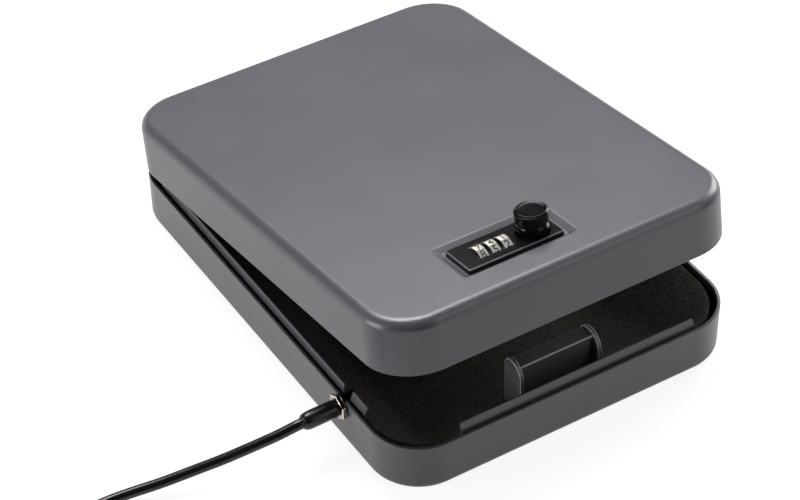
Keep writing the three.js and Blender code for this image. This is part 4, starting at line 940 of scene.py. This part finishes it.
def cheek_outline(reach):
    """A cheek's outline in (y, z), and the front and back of the plate between the cheeks."""
    plate_front = LOCK_Y - CAM_REACH - FIT - STRIKE_THICKNESS - FIT
    plate_back = plate_front + STRIKE_PLATE_DEPTH
    low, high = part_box("strike_bracket")
    front, back = plate_front - reach, plate_back + STRIKE_CHEEK_BACK
    top, foot = high.z, low.z
    depth = back - front
    shoulder = top - depth * CHEEK_SHOULDER
    apex = front + depth * CHEEK_APEX

    def curve(*knots):
        """Points of the curve that starts at the first knot and is pulled by those between."""
        points = []
        for i in range(CHEEK_STEPS + 1):
            rest = knots
            while len(rest) > 1:
                rest = [(a + (c - a) * i / CHEEK_STEPS, b + (d - b) * i / CHEEK_STEPS)
                        for (a, b), (c, d) in zip(rest, rest[1:])]
            points.append(rest[0])
        return points

    points = [(front, foot), (back, foot)]
    points += curve((back, top - STRIKE_CHEEK_BACK * 2), (back - depth * CHEEK_BACK_PULL, top), (apex, top))
    points += curve((apex, top), (apex - depth * CHEEK_TOP_PULL, top),
                    (front, shoulder + depth * CHEEK_FRONT_PULL), (front, shoulder))[1:]
    return points, plate_front, plate_back


def make_strike():
    low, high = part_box("strike_bracket")
    parts = []
    for x0, reach in ((low.x, STRIKE_LEFT_FRONT), (high.x - STRIKE_CHEEK, STRIKE_RIGHT_FRONT)):
        outline, front, back = cheek_outline(reach)
        rings = [[Vector((x, y, z)) for y, z in outline] for x in (x0, x0 + STRIKE_CHEEK)]
        parts.append(smooth(soft_edges(loft("strike_cheek", rings), 0.4 * MM, 4, 50), 60))
    top, t = high.z - STRIKE_CHEEK_RISE, STRIKE_THICKNESS
    section = [(back, top - t), (back, top), *quarter_round(front, top, STRIKE_FOLD, -STRIKE_FOLD, 8)]
    section += [(front, low.z), (high.y, low.z), (high.y, low.z + t)]
    section += [(front + t, low.z + t), (front + t, top - t)]
    sides = (low.x + STRIKE_CHEEK * 0.5, high.x - STRIKE_CHEEK * 0.5)
    rings = [[Vector((x, y, z)) for y, z in section] for x in sides]
    parts.append(smooth(soft_edges(loft("strike_plate", rings), 0.2 * MM, 2, 50), 60))
    for part, name in zip(parts, ("strike_cheek_left", "strike_cheek_right", "strike_channel")):
        part.name = name
        dress(part, BLACK_COAT, "base", "black_coat", "strike_bracket")
        # Painted highlights along the bracket's softened edges
        finish_edges(part, STRIKE_EDGE_PAINTED_HIGHLIGHT)
    # The front fold's upper faces get the painted highlight too
    for face in parts[-1].data.polygons:
        if face.normal.z > 0.25 and face.normal.y < -0.25:
            face.material_index = 1


# Foam

def foam_pad(name, pad, body, *replaced):
    soft_edges(pad, FOAM_EDGE, 3, 40)
    smooth(pad, 60)
    dress(pad, FOAM, body, "foam", *replaced)
    pad.name = name


def make_floor_foam():
    low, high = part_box("base_floor_foam")
    pad = loft("pad", [case_ring(SHEET + BASE_FILLET, z) for z in (low.z, high.z)])
    a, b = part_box("strike_bracket")
    x0, x1 = a.x - STRIKE_EASE, b.x + STRIKE_EASE
    slot = block(x0, x1, a.y - STRIKE_EASE, LOCK_Y - CAM_HUB_RADIUS + STRIKE_EASE, -MM, BASE_HEIGHT)
    under = block(x0, x1, a.y, b.y + STRIKE_EASE, -MM, low.z + STRIKE_THICKNESS + FIT)
    carve(pad, [slot, under])
    foam_pad("floor_pad", pad, "base", "base_floor_foam")


def make_wall_foam():
    """Foam round the walls, hollowed so that it runs down to the floor pad in one sweep."""
    low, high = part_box("base_wall_foam")
    outer = SHEET + WALL_DRAFT + FIT
    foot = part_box("base_floor_foam")[1].z + FOAM_LIFT
    section = [(0, low.z), *quarter_round(0, high.z, FOAM_SHOULDER, -FOAM_SHOULDER, 6)[::-1]]
    for i in range(1, FOAM_COVE_STEPS + 1):
        t = i / FOAM_COVE_STEPS
        rise = (high.z - foot) * (1 - t) ** FOAM_COVE_CURVE * FOAM_COVE_TOP
        section.append((FOAM_SHOULDER + (FOAM_COVE - FOAM_SHOULDER) * t, foot + FOAM_TOE + rise))
    section += [(FOAM_COVE, foot), (WALL_FOAM, foot)]
    corner = WALL_FOAM_CORNER + outer
    pad = loft("pad", [case_ring(outer + inset, z, corner) for inset, z in section], closed=True)
    above = BASE_HEIGHT + SHEET
    cutters = []
    for node, _, wall, *_ in FLANGES:
        a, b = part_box(node)
        x0 = -SIDE if wall == "left" else a.x - FIT
        x1 = SIDE if wall == "right" else b.x + FIT
        y0 = FRONT if wall == "front" else a.y - FIT
        cutters.append(block(x0, x1, y0, b.y + FIT, a.z - FIT, above))
    cutters.append(block(-SIDE, -SIDE + SHEET + WALL_FOAM * 2, TETHER_Y - STUD_ROOM, TETHER_Y + STUD_ROOM,
                         TETHER_Z - STUD_ROOM, above))
    a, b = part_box("hinge_base_leaf")
    cutters.append(block(a.x - FIT, b.x + FIT, a.y - FIT, REAR, a.z - FIT, above))
    a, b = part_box("strike_bracket")
    ease = STRIKE_EASE
    cutters.append(block(a.x - ease, b.x + ease, a.y - ease, b.y + ease, 0, above))
    carve(pad, cutters)
    foam_pad("wall_pad", pad, "base", "base_wall_foam")


def make_lid_foam():
    low, high = lid_box("lid_foam")
    pad = loft("pad", [case_ring(SHEET + WALL_DRAFT + LID_FILLET, z) for z in (low.z, high.z)])
    a, b = lid_box("lock_faceplate")
    half = PLATE_WIDTH / 2
    x0, x1 = a.x - POCKET_LEFT, max(b.x + POCKET_RIGHT, KNOB_X + CAM_REACH)
    y0, y1 = LOCK_Y - half - POCKET_FRONT, LOCK_Y + half + POCKET_BACK
    carve(pad, [block(x0 - LOCK_EASE, x1 + LOCK_EASE, y0 - LOCK_EASE, y1 + LOCK_EASE, 0, LID_HEIGHT)])
    foam_pad("lid_pad", move(pad, LID), "lid", "lid_foam")


# Lock

def make_knob():
    """Turned knob: flared collar, waist, sharp-rimmed cap with a bevel and a dished top."""
    low = lid_box("lock_knob")[0]
    flare, brim, soft = KNOB_COLLAR - KNOB_WAIST, KNOB_CAP - KNOB_WAIST, KNOB_ROUNDING
    edge, waist, cap = KNOB_COLLAR_EDGE, KNOB_WAIST_LEVEL, KNOB_CAP_BOTTOM
    profile = [(0, 0), (KNOB_COLLAR - soft, 0), *quarter_round(KNOB_COLLAR, 0, -soft, soft, 4)]
    profile += quarter_round(KNOB_WAIST, edge, flare, waist - edge, 12)
    profile += quarter_round(KNOB_WAIST, cap, brim, waist - cap, 10)[-2::-1]
    profile += quarter_round(KNOB_CAP, KNOB_CAP_EDGE, -soft, -soft, 5)[::-1]
    profile += [(KNOB_DISH + KNOB_DISH_RIM, KNOB_HEIGHT - 0.06 * MM), (KNOB_DISH, KNOB_HEIGHT),
                (KNOB_DISH - KNOB_DISH_RIM, KNOB_HEIGHT - 0.04 * MM)]
    for share in KNOB_DISH_STEPS:
        sunk = KNOB_DISH_DEPTH * (1.15 - share ** KNOB_DISH_CURVE)
        profile.append((KNOB_DISH * share, KNOB_HEIGHT - sunk))
    knob = lathe("turning_knob", profile, 96)
    move(knob, LID @ Matrix.Translation((KNOB_X, LOCK_Y, low.z)))
    even_normals(smooth(knob, 50))
    dress(knob, GLOSS_BLACK, "knob", "gloss_black", "lock_knob")


def figure_mesh(character):
    text = bpy.data.curves.new("figure", "FONT")
    text.body = character
    text.size = FIGURE_HEIGHT * FONT_SIZE_PER_HEIGHT
    text.align_x = text.align_y = "CENTER"
    text.extrude = FIGURE_RELIEF
    text.offset = FIGURE_STROKE
    thing = add_object("figure", text)
    mesh = evaluated_mesh(thing)
    bpy.data.objects.remove(thing)
    return mesh


def wheel_section(smaller):
    """Ten flat faces with a groove at each corner, drawn in (y, z)."""
    points = []
    step = 2 * pi / DIAL_FACES
    for i in range(DIAL_FACES):
        for turn, depth in DIAL_GROOVE_SHAPE:
            a, r = (i + 0.5 + turn) * step, DIAL_RADIUS - DIAL_GROOVE * depth - smaller
            points.append((r * sin(a), r * cos(a)))
    return points


def make_wheel_body(half):
    """A dial about X, pale round its faces, with painted shade on its end faces."""
    rings = [[Vector((inset * MM - half, y, z)) for y, z in wheel_section(smaller * MM)]
             for inset, smaller in DIAL_END_SHAPE]
    rings += [[Vector((-p.x, p.y, p.z)) for p in ring] for ring in reversed(rings)]
    bore = [Vector((0, y, z)).normalized() * DIAL_BORE for y, z in wheel_section(0)]
    rings += [[Vector((x, p.y, p.z)) for p in bore] for x in (half, -half)]
    body = loft("wheel", rings, closed=True)
    for finish in (DIAL_IVORY, DIAL_END_PAINTED_SHADE):
        body.data.materials.append(finish)
    for face in body.data.polygons:
        face.material_index = 1 if abs(face.normal.x) > 0.6 else 0
    return smooth(body, 25)


def make_dial_wheels():
    """Pale wheels whose end faces carry painted shade, with a number printed on each flat."""
    figures = [figure_mesh(str(i)) for i in range(DIAL_FACES)]
    flat = DIAL_RADIUS * cos(0.4 * 2 * pi / DIAL_FACES)
    for wheel in DIALS:
        low, high = lid_box(f"dial_wheel_{wheel}")
        place = LID @ Matrix.Translation((low + high) / 2)
        body = move(make_wheel_body((high.x - low.x) / 2), place)
        body.name = f"number_wheel_{wheel}"
        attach(body, f"dial_{wheel}")
        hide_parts(f"dial_wheel_{wheel}")
        together = bmesh.new()
        for i, figure in enumerate(figures):
            turn = 2 * pi * ((wheel * FIGURE_SHIFT + i) % DIAL_FACES) / DIAL_FACES
            copy = figure.copy()
            copy.transform(place @ Matrix.Rotation(turn, 4, "X") @ Matrix.Translation((0, 0, flat)))
            together.from_mesh(copy)
            bpy.data.meshes.remove(copy)
        mesh = bpy.data.meshes.new(f"dial_figures_{wheel}")
        together.to_mesh(mesh)
        together.free()
        printed = add_object(f"dial_figures_{wheel}", mesh)
        dress(printed, FIGURE_INK, f"dial_{wheel}", "dial_ivory")


# CAD nodes that keep their shape, by finish and by the width in mm of their softened edges
KEPT = (
    (POWDER, 0.15, ("hinge_base_leaf", "hinge_lid_leaf")),
    (STEEL, 0.25, ("cam_lever",)),
    (STEEL, 0.15, ("lock_screw_left", "lock_screw_right", "cam_screw", "reset_lever")),
    (STEEL, 0.1, ("hinge_pin", "dial_axle", "knob_spindle")),
    (STEEL, 0.05, ("detent_spring", "spindle_washer")),
    (STEEL, 0, ("gate_spring",)),
    (LOCK_BLACK, 0.24, ("lock_faceplate",)),
    (LOCK_BLACK, 0.2, ("lock_housing",)),
    (BRASS, 0.05, ("gate_bar",)),
    # The stud's dark plating is painted shade
    (STUD_PAINTED_SHADE, 0.3, ("anchor_stud",)),
)


def finish_kept_nodes():
    for finish, edge, nodes in KEPT:
        for node in nodes:
            set_finish(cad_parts[node], finish)
            if edge:
                soft_edges(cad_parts[node], edge * MM, 2, 35, weld=True)
    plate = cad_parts["lock_faceplate"]
    # Painted highlight along the face plate's edges
    finish_edges(plate, PLATE_EDGE_PAINTED_HIGHLIGHT)
    plate.modifiers["soft_edges"].use_clamp_overlap = False
    for wheel in DIALS:
        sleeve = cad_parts[f"code_sleeve_{wheel}"]
        set_finish(sleeve, BRASS)
        soft_edges(sleeve, 0.12 * MM, 2, 20, weld=True)


# Studio
FLOOR_SIZE = 4
FLOOR_LEVEL = -0.1 * MM
FLOOR_SHADE = 0.33
FLOOR_SEEN = 0.88
FLOOR_MIRRORED = 0.7
SKYLINE = (0.0, 0.08)
AMBIENT = 0.03
# Soft boxes: name, azimuth and elevation in degrees, and power in watts
SOFT_BOXES = [
    ("back_top_soft_box", 12, 62, 10.6),
    ("back_soft_box", 24, 48, 4.6),
    ("right_soft_box", 75, 20, 8.8),
    ("front_right_soft_box", 145, 42, 1.5),
    ("front_fill_soft_box", 152, 14, 1.2),
    ("left_soft_box", 281, 12, 6.9),
]
SOFT_BOX_SIZE = 0.62
SOFT_BOX_DISTANCE = 1.25
SOFT_BOX_TARGET = Vector((0, 0, 0.02))


def ray_masks(tree):
    """Masks for rays that show the studio plainly, seen or through glass, and for mirrored rays."""
    rays = add_node(tree, "LightPath", {})
    plain = sums(tree, "MAXIMUM", rays.outputs["Is Camera Ray"], rays.outputs["Is Transmission Ray"])
    return plain, rays.outputs["Is Glossy Ray"]


def make_floor():
    corners = [(x * FLOOR_SIZE, y * FLOOR_SIZE, FLOOR_LEVEL) for x, y in ((-1, -1), (1, -1), (1, 1), (-1, 1))]
    floor = mesh_object("floor", corners, [(0, 1, 2, 3)])
    material = bpy.data.materials.new("studio_floor")
    material.use_nodes = True
    tree = material.node_tree
    tree.nodes.clear()
    plain, mirrored = ray_masks(tree)
    strength = sums(tree, "ADD", sums(tree, "MULTIPLY", plain, FLOOR_SEEN),
                    sums(tree, "MULTIPLY", mirrored, FLOOR_MIRRORED))
    paper = add_node(tree, "BsdfDiffuse", {"Color": (FLOOR_SHADE, FLOOR_SHADE, FLOOR_SHADE, 1)})
    glow = add_node(tree, "Emission", {"Color": (1, 1, 1, 1), "Strength": strength})
    both = add_node(tree, "AddShader", {0: paper.outputs[0], 1: glow.outputs[0]})
    add_node(tree, "OutputMaterial", {"Surface": both.outputs[0]})
    set_finish(floor, material)


def make_world():
    """White backdrop. Mirrored rays see it up to a low skyline, with dim air above."""
    world = bpy.data.worlds.new("studio_world")
    bpy.context.scene.world = world
    world.use_nodes = True
    tree = world.node_tree
    tree.nodes.clear()
    plain, mirrored = ray_masks(tree)
    way = add_node(tree, "TexCoord", {}).outputs["Generated"]
    height = add_node(tree, "SeparateXYZ", {0: way}).outputs["Z"]
    skyline = between(tree, height, *SKYLINE, 1.0, 0.0)
    low = sums(tree, "MULTIPLY", sums(tree, "MULTIPLY", mirrored, skyline), FLOOR_MIRRORED)
    strength = sums(tree, "MAXIMUM", sums(tree, "MAXIMUM", plain, low), AMBIENT)
    backdrop = add_node(tree, "Background", {"Color": (1, 1, 1, 1), "Strength": strength})
    add_node(tree, "OutputWorld", {"Surface": backdrop.outputs[0]})


def make_lights():
    for name, azimuth, elevation, power in SOFT_BOXES:
        data = bpy.data.lights.new(name, "AREA")
        data.shape = "SQUARE"
        data.size = SOFT_BOX_SIZE
        data.energy = power
        lamp = add_object(name, data)
        way = direction(azimuth, elevation)
        lamp.location = SOFT_BOX_TARGET + way * SOFT_BOX_DISTANCE
        lamp.rotation_euler = (-way).to_track_quat("-Z", "Y").to_euler()


make_camera()
make_tether()
make_tray()
make_lid()
for node, name, wall, *sizes in FLANGES:
    make_flange(node, name, wall, *(size * MM for size in sizes))
make_strike()
make_floor_foam()
make_wall_foam()
make_lid_foam()
make_knob()
make_dial_wheels()
finish_kept_nodes()
make_floor()
make_world()
make_lights()
bpy.context.scene.view_settings.view_transform = "Standard"
